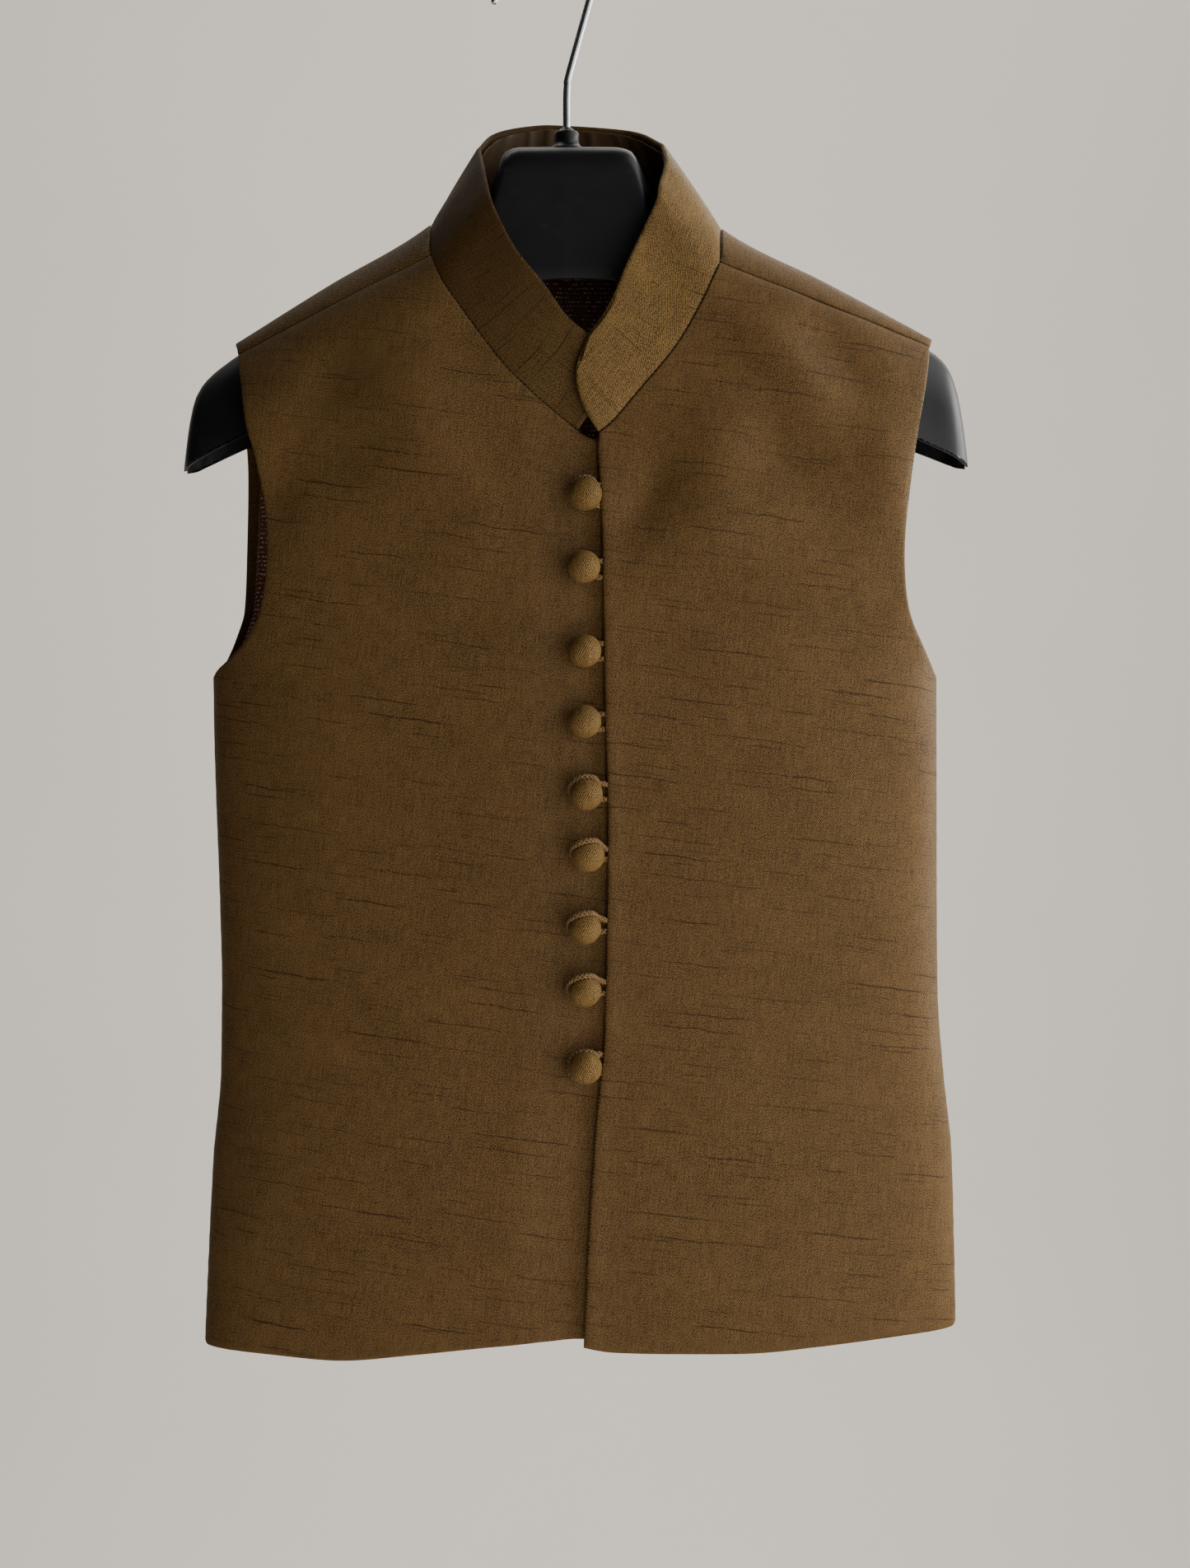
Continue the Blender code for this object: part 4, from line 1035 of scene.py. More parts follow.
def back_tops():
    """Where each column of the back ends: shoulder seam, neckline, shoulder seam, as (x, turn)."""
    tops = shoulder_tops(RIGHT_ARMHOLE[-1], RIGHT_NECKLINE[-1], 0)
    seam = [on_form(x, z, face) for x, z, face in neck_places()]
    for k, p in enumerate(seam):
        along = seam[min(k + 1, len(seam) - 1)] - seam[max(k - 1, 0)]
        away = along.cross(outward(p)).normalized()
        if away.dot(p - Vector((MID_X, NECK_AXIS_Y, p.z))) < 0:
            away = -away
        tops.append(arch_place(p + away * NECK_GAP))
    return tops + shoulder_tops(LEFT_NECKLINE[-1], LEFT_ARMHOLE[-1], 1)


def back_grid():
    """The back's outer points, normals and flat places: rows from the hem up and over."""
    tops = back_tops()
    columns = len(tops) - 1
    quarter = math.pi / 2
    base = [mix(-quarter, quarter, k / columns) for k in range(columns + 1)]
    halves = [0 if angle < 0 else 1 for angle in base]
    top_angles = [x_angle(x, over_shoulder(x, turn).z) for x, turn in tops]
    edge_top = (abs(top_angles[0]), abs(top_angles[-1]))

    def column_angle(k, edge, share):
        """The angle of a column where the outermost ones are at edge, share of the way up."""
        even = base[k] / quarter * edge[halves[k]]
        shift = top_angles[k] - base[k] / quarter * edge_top[halves[k]]
        return even + shift * share

    points, flat = [], []
    for i in range(BODY_ROWS + 1):
        line = []
        for k in range(columns + 1):
            x, z = body_place(base[k], i / BODY_ROWS, BACK_HEM, "back")
            p = on_form(x, z, "back")
            p.y = max(p.y, side_gap(z))
            line.append(p)
        points.append(line)
        flat.append([laid_flat(p.x, p.z) for p in line])
    names = ("left", "right")
    edge_z = [RIDGE.read("z", BACK_ARMHOLE.read(side, ARCH_FOOT_Z)) - ARCH for side in names]
    for i in range(1, ARMHOLE_ROWS + 1):
        level = (i / ARMHOLE_ROWS) ** ROW_CROWDING
        heights = [mix(UNDERARM_Z, z, level) for z in edge_z]
        edge = [abs(x_angle(BACK_ARMHOLE.read(side, z), z)) for side, z in zip(names, heights)]
        line = []
        for k in range(columns + 1):
            angle = column_angle(k, edge, blend(0, SHIFT_REACH, level))
            z = heights[halves[k]]
            for _ in range(SETTLING):
                x = x_from_angle(angle, z)
                z = mix(UNDERARM_Z, RIDGE.read("z", x) - ARCH, level)
            line.append(on_form(x, z, "back"))
        points.append(line)
        flat.append([laid_flat(p.x, p.z) for p in line])
    start = blend(0, SHIFT_REACH, 1)
    for row in range(1, ARCH_ROWS + 1):
        level = row / ARCH_ROWS
        line, laid = [], []
        for k in range(columns + 1):
            x, turn_top = tops[k]
            turn = mix(quarter, turn_top, level)
            if row < ARCH_ROWS:
                side = halves[k]
                tip_turn = mix(quarter, tops[-side][1], level)
                edge_x = BACK_ARMHOLE.read(names[side], ARMHOLE_TIP_Z)
                tip_z = arch_z(edge_x, tip_turn)
                if tip_turn > 0:
                    edge_x = BACK_ARMHOLE.read(names[side], tip_z)
                else:
                    edge_x = mix(edge_x, tops[-side][0], tip_turn / tops[-side][1])
                edge = [abs(x_angle(edge_x, tip_z))] * 2
                angle = column_angle(k, edge, mix(start, 1.0, level))
                for _ in range(SETTLING):
                    x = x_from_angle(angle, arch_z(x, turn))
            line.append(over_shoulder(x, turn))
            laid.append(laid_flat(x, line[-1].z, turn))
        points.append(line)
        flat.append(laid)
    normals = [[outward(p) for p in line] for line in points]

    def amount(i, j, p):
        calm = blend(*CALM_EDGE, abs(p.y)) if p.z < UNDERARM_Z + CALM_RISE else 1.0
        rise = relief(p.x, p.z, "back") * blend(0, 10, p.y)
        return (rise + pressed_step(p.x, p.z)) * calm

    return moved_out(points, normals, amount), normals, flat


def back_panel(points, normals, flat, materials):
    """The back in one piece, over the shoulders to the seams in front."""
    shaped = sink_at_seams(points, normals, "top", BACK_TOP_SINK)
    grain = [[turned_grain(place, GRAIN) for place in row] for row in flat]
    last_row, last_column = len(points) - 1, len(points[0]) - 1

    def at_seam(i, j):
        if i == last_row:
            return SHOULDER_ROUND if min(j, last_column - j) < SHOULDER_STEPS else SEAM_ROUND
        return SEAM_ROUND * (j in (0, last_column) and VENT_ROW < i <= BODY_ROWS)

    piece = sheet_shell("back_panel", shaped, normals, BACK_WALL, grain, materials, None, at_seam)
    sew_on(piece, "slub_silk", "back", flat, "hung", "hanger_form")


def back_lining(points, normals, flat, materials):
    """The lining of the back, made from the back's points and moved in, inside its edges."""
    low, high = LINING_INSET_ROWS
    first, last = LINING_INSET_COLUMNS, len(points[0]) - 1 - LINING_INSET_COLUMNS
    rows, directions, places = [], [], []
    for i in range(low, len(points) - high):
        line = []
        for j in range(first, last + 1):
            edge = min(j - first, last - j, 3)
            slack = LINING_SLACK * (0.5 + 0.5 * noise.noise((j * 0.21, i * 0.05, 40.0)))
            depth = BACK_WALL + LAYER_GAP + LINING_TURN * (1 - edge / 3)
            line.append(points[i][j] - normals[i][j] * (depth + slack))
        rows.append(line)
        directions.append(normals[i][first : last + 1])
        places.append(flat[i][first : last + 1])
    piece = sheet_shell("back_lining_panel", rows, directions, LINING_WALL, places, materials)
    sew_on(piece, "lining_satin", "back_lining", places, "hung", "back")


def collar_grid():
    """The collar's outer points and normals: rows from its seam up, columns from end to end."""
    right, left = (even_points(line, NECK_ROWS)[:-1] for line in (RIGHT_NECKLINE, LEFT_NECKLINE))
    places = [(p.x, p.y, "front") for p in right]
    places += neck_places()
    places += [(p.x, p.y, "front") for p in reversed(left)]
    seam, seam_normals = [], []
    for k, (x, z, face) in enumerate(places):
        p = on_form(x, z, face)
        n = outward(p)
        if k < NECK_ROWS:
            p = p - n * lap_tuck(x, z)
        seam.append(p)
        seam_normals.append(n)
    top = [Vector(COLLAR_TOP[0][0])]
    for stretch, steps in zip(COLLAR_TOP, COLLAR_TOP_STEPS):
        top += even_points(stretch, steps)[1:]
    ends = [even_points(end, COLLAR_ROWS) for end in (COLLAR_END_UNDER, COLLAR_END_OVER)]
    last = len(seam) - 1
    rows = []
    for i in range(COLLAR_ROWS + 1):
        share = i / COLLAR_ROWS
        line = []
        for k in range(last + 1):
            p = seam[k].lerp(top[k], share)
            for end, at, distance in ((ends[0], 0, k), (ends[1], last, last - k)):
                bulge = end[i] - seam[at].lerp(top[at], share)
                p = p + bulge * (1 - blend(0, COLLAR_END_REACH, distance))
            line.append(p)
        rows.append(line)
    rows[0] = seam
    normals = grid_normals(rows, out_from=NECK_MIDDLE)
    for i in range(COLLAR_SEAM_ROWS):
        share = i / COLLAR_SEAM_ROWS
        normals[i] = [a.lerp(b, share).normalized() for a, b in zip(seam_normals, normals[i])]
    return rows, normals


def collar_flat(rows):
    """Each point's place on the flat collar band: along it, and up from its seam."""
    half, last = len(rows) // 2, len(rows[0]) - 1
    middle = lengths_along(rows[half])
    flat = [[None] * (last + 1) for _ in rows]
    for k in range(last + 1):
        run = (rows[half][min(k + 1, last)] - rows[half][max(k - 1, 0)]).normalized()
        steps = [b[k] - a[k] for a, b in zip(rows, rows[1:])]
        along, up = middle[k] - sum(step.dot(run) for step in steps[:half]), 0.0
        flat[0][k] = (along, up)
        for i, step in enumerate(steps):
            slip = step.dot(run)
            along += slip
            up += math.sqrt(max(0.0, step.length_squared - slip**2))
            flat[i + 1][k] = (along, up)
    return flat


def collar_band(rows, normals):
    """The standing collar, with a soft roll and a slight unevenness of its own."""
    def amount(i, j, p):
        share = i / (len(rows) - 1)
        wave = noise.noise((j * 0.11, share * 1.3, 60.0)) * min(1.0, 4 * share)
        return COLLAR_ROLL * (math.sin(math.pi * share) + wave)

    shaped = sink_at_seams(moved_out(rows, normals, amount), normals, "bottom", SEAM_SINK)
    flat = collar_flat(rows)
    grain = [[turned_grain((up, -along), GRAIN) for along, up in row] for row in flat]
    # Its silk carries painted shade and painted light along the collar's length.
    silk = [slub_silk("collar_silk", collar=flat[0][-1][0])]

    def at_seam(i, j):
        return SEAM_ROUND * (i == 0)

    piece = sheet_shell("collar_band", shaped, normals, COLLAR_WALL, grain, silk, None, at_seam)
    sew_on(piece, "slub_silk", "collar", flat, "hung", "back", "left_front")


def in_grid(grid, row, column):
    """A point between the grid's points, at fractional row and column numbers."""
    i, j = min(int(row), len(grid) - 2), min(int(column), len(grid[0]) - 2)
    a = grid[i][j].lerp(grid[i][j + 1], column - j)
    b = grid[i + 1][j].lerp(grid[i + 1][j + 1], column - j)
    return a.lerp(b, row - i)


GATHERS = Table(
    "at width depth",
    (0.02, 0.028, 0.7), (0.11, 0.03, 1.0), (0.19, 0.022, 0.6), (0.27, 0.034, 1.2),
    (0.36, 0.02, 0.9), (0.43, 0.03, 1.3), (0.51, 0.02, 0.7), (0.57, 0.026, 1.2), (0.66, 0.022, 0.9),
    (0.73, 0.034, 1.3), (0.81, 0.02, 0.8), (0.88, 0.03, 1.1), (0.96, 0.024, 0.7),
)


def gathered(share, level):
    """How far the gathered strip stands in from the collar, share of the way along it."""
    rows = GATHERS.columns
    total = 0.0
    for at, width, depth in zip(rows["at"], rows["width"], rows["depth"]):
        lean = at + GATHER_LEAN * math.sin(at * 40) * level
        total = max(total, depth * bell(share - lean, width * mix(*GATHER_SPREAD, level)))
    return total


def collar_strip(rows, normals, materials):
    """The gathered satin strip inside the back of the collar."""
    inset = RIDGE_STEPS * STRIP_INSET
    first = NECK_ROWS + inset
    last = NECK_ROWS + 2 * RIDGE_STEPS + BACK_NECK_STEPS - inset
    outer, directions = [], []
    for i in range(STRIP_LEVELS + 1):
        level = i / STRIP_LEVELS
        row = mix(*STRIP_REACH, level) * COLLAR_ROWS
        line, direction = [], []
        for k in range(STRIP_STEPS + 1):
            column = mix(first, last, k / STRIP_STEPS)
            n = in_grid(normals, row, column).normalized()
            fold = gathered(k / STRIP_STEPS, 1 - level) * mix(1.0, GATHER_EASE, level)
            line.append(in_grid(rows, row, column) - n * (COLLAR_WALL + LAYER_GAP + fold))
            direction.append(n)
        outer.append(line)
        directions.append(direction)
    flat = collar_flat(outer)
    piece = sheet_shell("collar_strip", outer, directions, STRIP_WALL, flat, materials)
    sew_on(piece, "lining_satin", "collar_lining", flat, "gathered", "collar")


def loop_path(row):
    """The cord's middle line: out at the lapping edge, over or round the ball, and back to the edge."""
    x, z = row["x"], row["z"]
    behind = CORD_LIFT - BUTTON_STANDOFF
    ride = row["over"] + row["along"]
    edge = LAP_EDGE.read("x", z) - CORD_END_GAP
    upper, lower = z + row["upper"], z + row["lower"]
    spring = LOOP_SPRING * ride
    ring = [(edge - LOOP_STEM, behind + spring, upper + LOOP_LIFT * spring)]
    for k in range(LOOP_WAYS + 1):
        angle = mix(*LOOP_SWEEP, k / LOOP_WAYS)
        front = behind
        for way in ("over", "along"):
            front += row[way] * (LOOP_RIDE.read(way, angle) - behind)
        clear = BUTTON_RADIUS + CORD_RADIUS - CORD_PRESS * ride * bell(front, CORD_PRESS_WIDTH)
        radius = math.sqrt(clear**2 - front**2)
        turn = math.radians(angle)
        across = min(radius * math.cos(turn), edge - LOOP_STEM - x - LOOP_DRAW * spring)
        up = math.copysign(math.sqrt(radius**2 - across**2), math.sin(turn))
        ring.append((x + across, front, z + up))
    ring.append((edge - LOOP_STEM, behind, lower))
    ring = [tuple(p) for p in even_points(ring, LOOP_POINTS)]
    ring = [(edge, behind + LOOP_DRAW * spring, upper)] + ring + [(edge, behind, lower)]
    path = []
    for px, front, pz in ring:
        face = on_form(px, pz, "front")
        out = outward(face)
        path.append(face - out * LAP_TUCK + out * (BUTTON_STANDOFF + front))
    return path


def spun_faces(rings, sides):
    """Faces over a stack of rings with a pole at either end: the first point and the last."""
    last = rings * sides + 1
    top = last - sides
    faces = []
    for k in range(sides):
        after = (k + 1) % sides
        faces += [[0, 1 + after, 1 + k], [top + k, top + after, last]]
        for i in range(rings - 1):
            a, b = 1 + i * sides + k, 1 + i * sides + after
            faces.append([a, b, b + sides, a + sides])
    return faces


def covered_button(row, path, material):
    """A ball covered in the same silk, gathered to its shank behind, and pressed in by its cord."""
    number, x, z = row["number"], row["x"], row["z"]
    face = on_form(x, z, "front")
    base = face - outward(face) * lap_tuck(x, z)
    heart = base + Vector((0, -BUTTON_STANDOFF, 0))
    cord = [p - heart for p in path if (p - heart).length < BUTTON_RADIUS + 2 * CORD_RADIUS]
    cloth_x = number * BUTTON_CLOTH
    turns = circle(BUTTON_SIDES)
    points, uvs = [base + Vector((0, -LAYER_GAP, 0))], [(cloth_x, 0.0)]
    for height in (-LAYER_GAP, -LAYER_GAP - SHANK_STEP):
        for _, right, up in turns:
            points.append(base + Vector((SHANK_RADIUS * right, height, SHANK_RADIUS * up)))
            uvs.append((SHANK_CLOTH * right + cloth_x, SHANK_CLOTH * up))
    under = math.asin(SHANK_RADIUS / BUTTON_RADIUS)
    for ring in range(1, BUTTON_RINGS):
        angle = mix(under, math.pi, ring / BUTTON_RINGS)
        reach = (math.pi - angle) * BUTTON_RADIUS
        for turn, right, up in turns:
            out = math.sin(angle)
            way = Vector((out * right, math.cos(angle), out * up))
            behind = blend(0.1, 0.95, way.y)
            pleat = behind * (1 - behind) * math.sin(BUTTON_PLEATS * turn + number)
            dimple = BUTTON_DIMPLE * noise.noise(way * 2.2 + Vector((number * 3.0, 0, 0)))
            radius = BUTTON_RADIUS + PLEAT_DEPTH * pleat + dimple * (1 - behind)
            for q in cord:
                along = q.dot(way)
                aside = q.length_squared - along**2
                if along > 0 and aside < CORD_RADIUS**2:
                    radius = min(radius, along - math.sqrt(CORD_RADIUS**2 - aside))
            points.append(heart + way * radius)
            uvs.append((reach * right + cloth_x, reach * up))
    points.append(heart + Vector((0, -BUTTON_RADIUS, 0)))
    uvs.append((cloth_x, 0.0))
    faces = spun_faces(BUTTON_RINGS + 1, BUTTON_SIDES)
    piece = make_piece(f"covered_button_{number}", points, faces, [material], uvs)
    turn_outwards(piece)
    stand_for(piece, "slub_silk", f"button_{number}")


class Nodes:
    """A node tree in the making, with one method that adds any node."""

    def __init__(self, tree):
        self.tree = tree

    def node(self, kind, settings=None, sockets=None):
        """Adds a node: its settings first, then a value or a link for each named or numbered socket."""
        node = self.tree.nodes.new(kind)
        for key, value in (settings or {}).items():
            setattr(node, key, value)
        for key, value in (sockets or {}).items():
            self.put(node.inputs[key], value)
        return node

    def put(self, socket, value):
        if isinstance(value, Field):
            self.tree.links.new(value.socket, socket)
        elif isinstance(value, bpy.types.NodeSocket):
            self.tree.links.new(value, socket)
        else:
            socket.default_value = value

    def field(self, socket):
        return Field(self, socket)


class Field:
    """A number that varies over a surface. Python's operators on it add Math nodes."""

    def __init__(self, nodes, socket):
        self.nodes = nodes
        self.socket = socket

    def maths(self, operation, *others, clamp=False):
        sockets = dict(enumerate((self,) + others))
        node = self.nodes.node("ShaderNodeMath", {"operation": operation, "use_clamp": clamp}, sockets)
        return Field(self.nodes, node.outputs[0])

    def __add__(self, other):
        return self.maths("ADD", other)

    __radd__ = __add__

    def __sub__(self, other):
        return self.maths("SUBTRACT", other)

    def __rsub__(self, other):
        return self.maths("MULTIPLY", -1.0).maths("ADD", other)

    def __mul__(self, other):
        return self.maths("MULTIPLY", other)

    __rmul__ = __mul__

    def __truediv__(self, other):
        return self.maths("DIVIDE", other)

    def __rtruediv__(self, other):
        return self.maths("POWER", -1.0).maths("MULTIPLY", other)

    def sine(self):
        return self.maths("SINE")

    def cosine(self):
        return self.maths("COSINE")

    def fraction(self):
        return self.maths("FRACT")

    def floor(self):
        return self.maths("FLOOR")

    def size(self):
        return self.maths("ABSOLUTE")

    def modulo(self, other):
        return self.maths("FLOORED_MODULO", other)

    def smooth(self, low, high):
        """0 below low, 1 above high and a smooth rise between."""
        node = self.nodes.node(
            "ShaderNodeMapRange",
            {"interpolation_type": "SMOOTHSTEP"},
            {"Value": self, "From Min": low, "From Max": high},
        )
        return Field(self.nodes, node.outputs["Result"])


class Finish(Nodes):
    """A Principled material in the making."""

    def __init__(self, name, **constants):
        self.material = bpy.data.materials.new(name)
        self.material.use_nodes = True
        super().__init__(self.material.node_tree)
        self.shader = self.tree.nodes["Principled BSDF"]
        for label, value in constants.items():
            self.shader.inputs[label.replace("_", " ")].default_value = value

    def cloth_place(self):
        """Across and up on the flat cloth, in millimetres."""
        uv = self.node("ShaderNodeUVMap", {"uv_map": "cloth"}).outputs["UV"]
        parts = self.node("ShaderNodeSeparateXYZ", None, {0: uv})
        return self.field(parts.outputs["X"]) * 1000.0, self.field(parts.outputs["Y"]) * 1000.0

    def grain(self, x, y, z=0.0, detail=2.0):
        """Noise from 0 to 1 at a place that is already scaled to the grain's size."""
        place = self.node("ShaderNodeCombineXYZ", None, {0: x, 1: y, 2: z}).outputs[0]
        node = self.node(
            "ShaderNodeTexNoise",
            {"noise_dimensions": "3D"},
            {"Vector": place, "Scale": 1.0, "Detail": detail, "Roughness": 0.5},
        )
        return self.field(node.outputs["Fac"])

    def flecks(self, width, height=None, detail=2.0):
        """Noise on the object, with grains that wide along X and Y and that high, in millimetres."""
        place = self.node("ShaderNodeTexCoord").outputs["Object"]
        parts = self.node("ShaderNodeSeparateXYZ", None, {0: place})
        sizes = (width, width, height or width)
        spots = [self.field(parts.outputs[axis]) * 1000.0 / size for axis, size in zip("XYZ", sizes)]
        return self.grain(*spots, detail=detail)

    def chances(self, x, y, z):
        """Three random numbers from 0 to 1, the same wherever the place is."""
        place = self.node("ShaderNodeCombineXYZ", None, {0: x, 1: y, 2: z}).outputs[0]
        node = self.node("ShaderNodeTexWhiteNoise", {"noise_dimensions": "3D"}, {"Vector": place})
        parts = self.node("ShaderNodeSeparateColor", None, {0: node.outputs["Color"]})
        return [self.field(socket) for socket in parts.outputs]

    def mixed(self, share, first, second):
        """A colour between two, each a colour socket or three numbers."""
        node = self.node("ShaderNodeMix", {"data_type": "RGBA"}, {0: share})
        for key, colour in ((6, first), (7, second)):
            self.put(node.inputs[key], (*colour, 1.0) if isinstance(colour, tuple) else colour)
        return node.outputs[2]

    def finish(self, colour, roughness=None, height=None, depth=0.0001, strength=1.0):
        """Links the colour, the roughness and a bump of that depth in metres."""
        self.put(self.shader.inputs["Base Color"], colour)
        if roughness is not None:
            self.put(self.shader.inputs["Roughness"], roughness)
        if height is not None:
            relief_size = {"Height": height, "Distance": depth, "Strength": strength}
            bump = self.node("ShaderNodeBump", None, relief_size)
            self.put(self.shader.inputs["Normal"], bump.outputs["Normal"])
        return self.material


TWILL_LEAN = math.radians(62)
SILK_DARK = (0.022, 0.0112, 0.0026)
SILK_LIGHT = (0.221, 0.128, 0.044)
SLUB_COLOUR = (0.030, 0.0135, 0.0040)
BUTTON_LIGHT = (0.330, 0.200, 0.062)
# Painted shade and painted light on the collar: the light colour of its silk runs between these two along
# its length.
COLLAR_PAINTED_SHADE = (0.090, 0.048, 0.013)
COLLAR_PAINTED_LIGHT = (0.33, 0.20, 0.066)
SATIN_DARK = (0.07, 0.026, 0.018)
SATIN_LIGHT = (0.24, 0.095, 0.065)
STRIP_DARK = (0.032, 0.019, 0.0085)
STRIP_LIGHT = (0.115, 0.069, 0.033)
DASH_COLOUR = (0.95, 0.8, 0.62)
# How far apart the lining's rows of dashes lie, and the dashes in a row, in millimetres.
DASH_ROW = 2.05
DASH_LENGTH = 1.35
BRAID_DARK = (0.070, 0.037, 0.010)
BRAID_LIGHT = (0.34, 0.205, 0.076)
THREAD_DARK = (0.03, 0.016, 0.006)
THREAD_LIGHT = (0.12, 0.07, 0.025)
PLASTIC_DARK = (0.0068, 0.0068, 0.0084)
PLASTIC_LIGHT = (0.034, 0.034, 0.038)
STEEL_BRIGHT = (0.6, 0.6, 0.61)
STEEL_DULL = (0.34, 0.34, 0.35)
PALE_LOW = (0.79, 0.745, 0.675)
PALE_HIGH = (0.84, 0.80, 0.735)

# The dark slubs by kind: how far apart their rows and places lie, how often one comes, half its
# length and thickness, and how dark it is, in millimetres and shares.
SLUBS = Table(
    "kind row place often reach thick dark",
    (1, 9.0, 84.0, 0.8, 31.0, 0.42, 1.0),
    (2, 6.0, 46.0, 0.5, 17.0, 0.36, 0.85),
    (3, 3.2, 15.0, 0.3, 5.6, 0.30, 0.6),
)


def slub_lines(f, across, up):
    """Thick dark threads in the weft, at most one to a place: tapered, broken and a little crooked."""
    total = 0.0
    for kind, row, place, often, reach, thick, dark in zip(*SLUBS.columns.values()):
        line = (up / row).floor()
        along = across / place + f.chances(line, kind * 3.7, 0.5)[0] * 9.0
        here, left, high = f.chances(line, along.floor(), float(kind))
        longer, thicker, darker = f.chances(line, along.floor(), kind + 0.5)
        off_middle = (along.fraction() - 0.5 - (left - 0.5) * 0.2) * place
        crook = (f.grain(across / 12.0, line * 3.1, kind * 5.0, detail=1.0) - 0.5) * min(2.4, row / 4)
        aside = ((up / row).fraction() - 0.5 - (high - 0.5) * 0.6) * row + crook
        taper = (off_middle.size() / ((longer * 0.5 + 0.5) * reach)).smooth(1.0, 0.35)
        width = (thicker * 0.5 + 0.6) * taper * thick + 0.04
        body = (aside.size() / width).smooth(1.0, 0.35)
        broken = f.grain(across / 2.0, line * 2.3, kind * 9.0, detail=1.0).smooth(0.28, 0.5)
        present = here.maths("LESS_THAN", often) * (darker * 0.5 + 0.5) * dark
        total = body * taper * (broken * 0.75 + 0.25) * present + total
    return total.maths("MINIMUM", 1.0)


def slub_silk(name="slub_silk", slubs=1.0, light=SILK_LIGHT, thread=0.76, collar=0.0):
    """Bronze-brown slub silk: a steep fine twill, uneven threads and dark broken slubs in the weft.

    On a collar of that length in millimetres, painted shade and painted light drift along it: darker near
    its lapped end, lighter towards its lapping end.
    """
    f = Finish(name, Specular_IOR_Level=0.12, Sheen_Weight=0.03, Sheen_Roughness=0.35)
    f.shader.inputs["Sheen Tint"].default_value = (1.0, 0.72, 0.34, 1)
    across, up = f.cloth_place()
    wale = (across * math.sin(TWILL_LEAN) - up * math.cos(TWILL_LEAN)) * (2 * math.pi / thread)
    pick = (up + across * 0.2) * (2 * math.pi / (thread * 0.92))
    twill = wale.sine() * 0.3 + wale.sine() * pick.sine() * 0.35 + 0.5
    nep = f.grain(across / 0.58, up / 0.47, 1.0, detail=1.0)
    weft = f.grain(across / 4.0, up / 0.5, 3.0, detail=1.0)
    warp = f.grain(across / 0.6, up / 11.0, 5.0)
    cloud = f.grain(across / 38.0, up / 26.0, 9.0)
    mottle = f.grain(across / 9.0, up / 5.0, 15.0)
    shade = (twill - 0.5) * 1.0 + (nep - 0.5) * 2.5 + (weft - 0.5) * 0.5 + (warp - 0.5) * 0.7
    level = (shade + (cloud - 0.5) * 0.26 + (mottle - 0.5) * 0.22 + 0.47).maths("ADD", 0.0, clamp=True)
    if collar > 0:
        # Painted shade and painted light: darkest from a fifth to a third of the way from the lapped end, a
        # little lighter at that end, lightest towards the lapping end.
        turned = (up / -collar).smooth(0.34, 0.8) + (up / -collar).smooth(0.2, 0.02) * 0.34
        light = f.mixed(turned, COLLAR_PAINTED_SHADE, COLLAR_PAINTED_LIGHT)
    colour = f.mixed(level, SILK_DARK, light)
    height = twill * 0.7 + nep * 0.8 + warp * 0.3
    if slubs > 0:
        slub = slub_lines(f, across, up) * slubs
        colour = f.mixed(slub * 0.85, colour, SLUB_COLOUR)
        height = height + slub * 1.4
    return f.finish(colour, 0.64 - (level * 0.14), height, depth=0.00012, strength=0.6)


def lining_satin(name, dark, light, dashes):
    """Red-brown satin lining, with fine threads and rows of tiny light woven dashes."""
    f = Finish(name, Specular_IOR_Level=0.14, Sheen_Weight=0.02)
    across, up = f.cloth_place()
    thread = f.grain(across / 0.35, up / 6.0, 2.0)
    cloud = f.grain(across / 20.0, up / 30.0, 6.0)
    level = ((thread - 0.5) * 0.6 + (cloud - 0.5) * 0.5 + 0.5).maths("ADD", 0.0, clamp=True)
    colour = f.mixed(level, dark, light)
    height = thread
    if dashes:
        sway = f.grain(across / 12.0, up / 12.0, 11.0) * 1.6
        rows = (up + sway) / DASH_ROW
        line = (rows.fraction() - 0.5).size().smooth(0.17, 0.06)
        number = rows.floor()
        dash = ((across / DASH_LENGTH) + (number * 0.37)).fraction()
        dot = (dash - 0.5).size().smooth(0.36, 0.2)
        lit = f.grain(across / 1.1, number * 1.7, 19.0, detail=0.0).smooth(0.42, 0.62)
        mark = line * dot * lit * 1.6
        colour = f.mixed(mark * 0.95, colour, DASH_COLOUR)
        height = thread * 0.4 + mark
    return f.finish(colour, 0.42, height, depth=0.00008, strength=0.4)


def loop_braid():
    """Golden-brown viscose braid with a dry sheen along its strands."""
    f = Finish("loop_braid", Specular_IOR_Level=0.25, Sheen_Weight=0.08)
    fibre, patch = f.flecks(0.3), f.flecks(2.2)
    level = ((fibre - 0.5) * 0.9 + (patch - 0.5) * 0.8 + 0.5).maths("ADD", 0.0, clamp=True)
    return f.finish(f.mixed(level, BRAID_DARK, BRAID_LIGHT), 0.6, fibre, depth=0.00006, strength=0.5)


def hanger_plastic():
    """Black moulded plastic: satin, with faint flow marks, rubs and dust."""
    f = Finish("hanger_plastic", Specular_IOR_Level=0.38, Coat_Weight=0.04, Coat_Roughness=0.3)
    flow = f.flecks(24.0, 9.0)
    pores = f.flecks(0.7)
    rubs = f.flecks(9.0, 4.0, detail=3.0).smooth(0.58, 0.8)
    dust = f.flecks(1.1, detail=1.0).smooth(0.75, 0.8)
    colour = f.mixed(rubs * 0.2 + dust * 0.3, PLASTIC_DARK, PLASTIC_LIGHT)
    rough = 0.43 + (flow - 0.5) * 0.16 + rubs * 0.1
    return f.finish(colour, rough, pores * 0.6 + flow, depth=0.0001, strength=0.25)


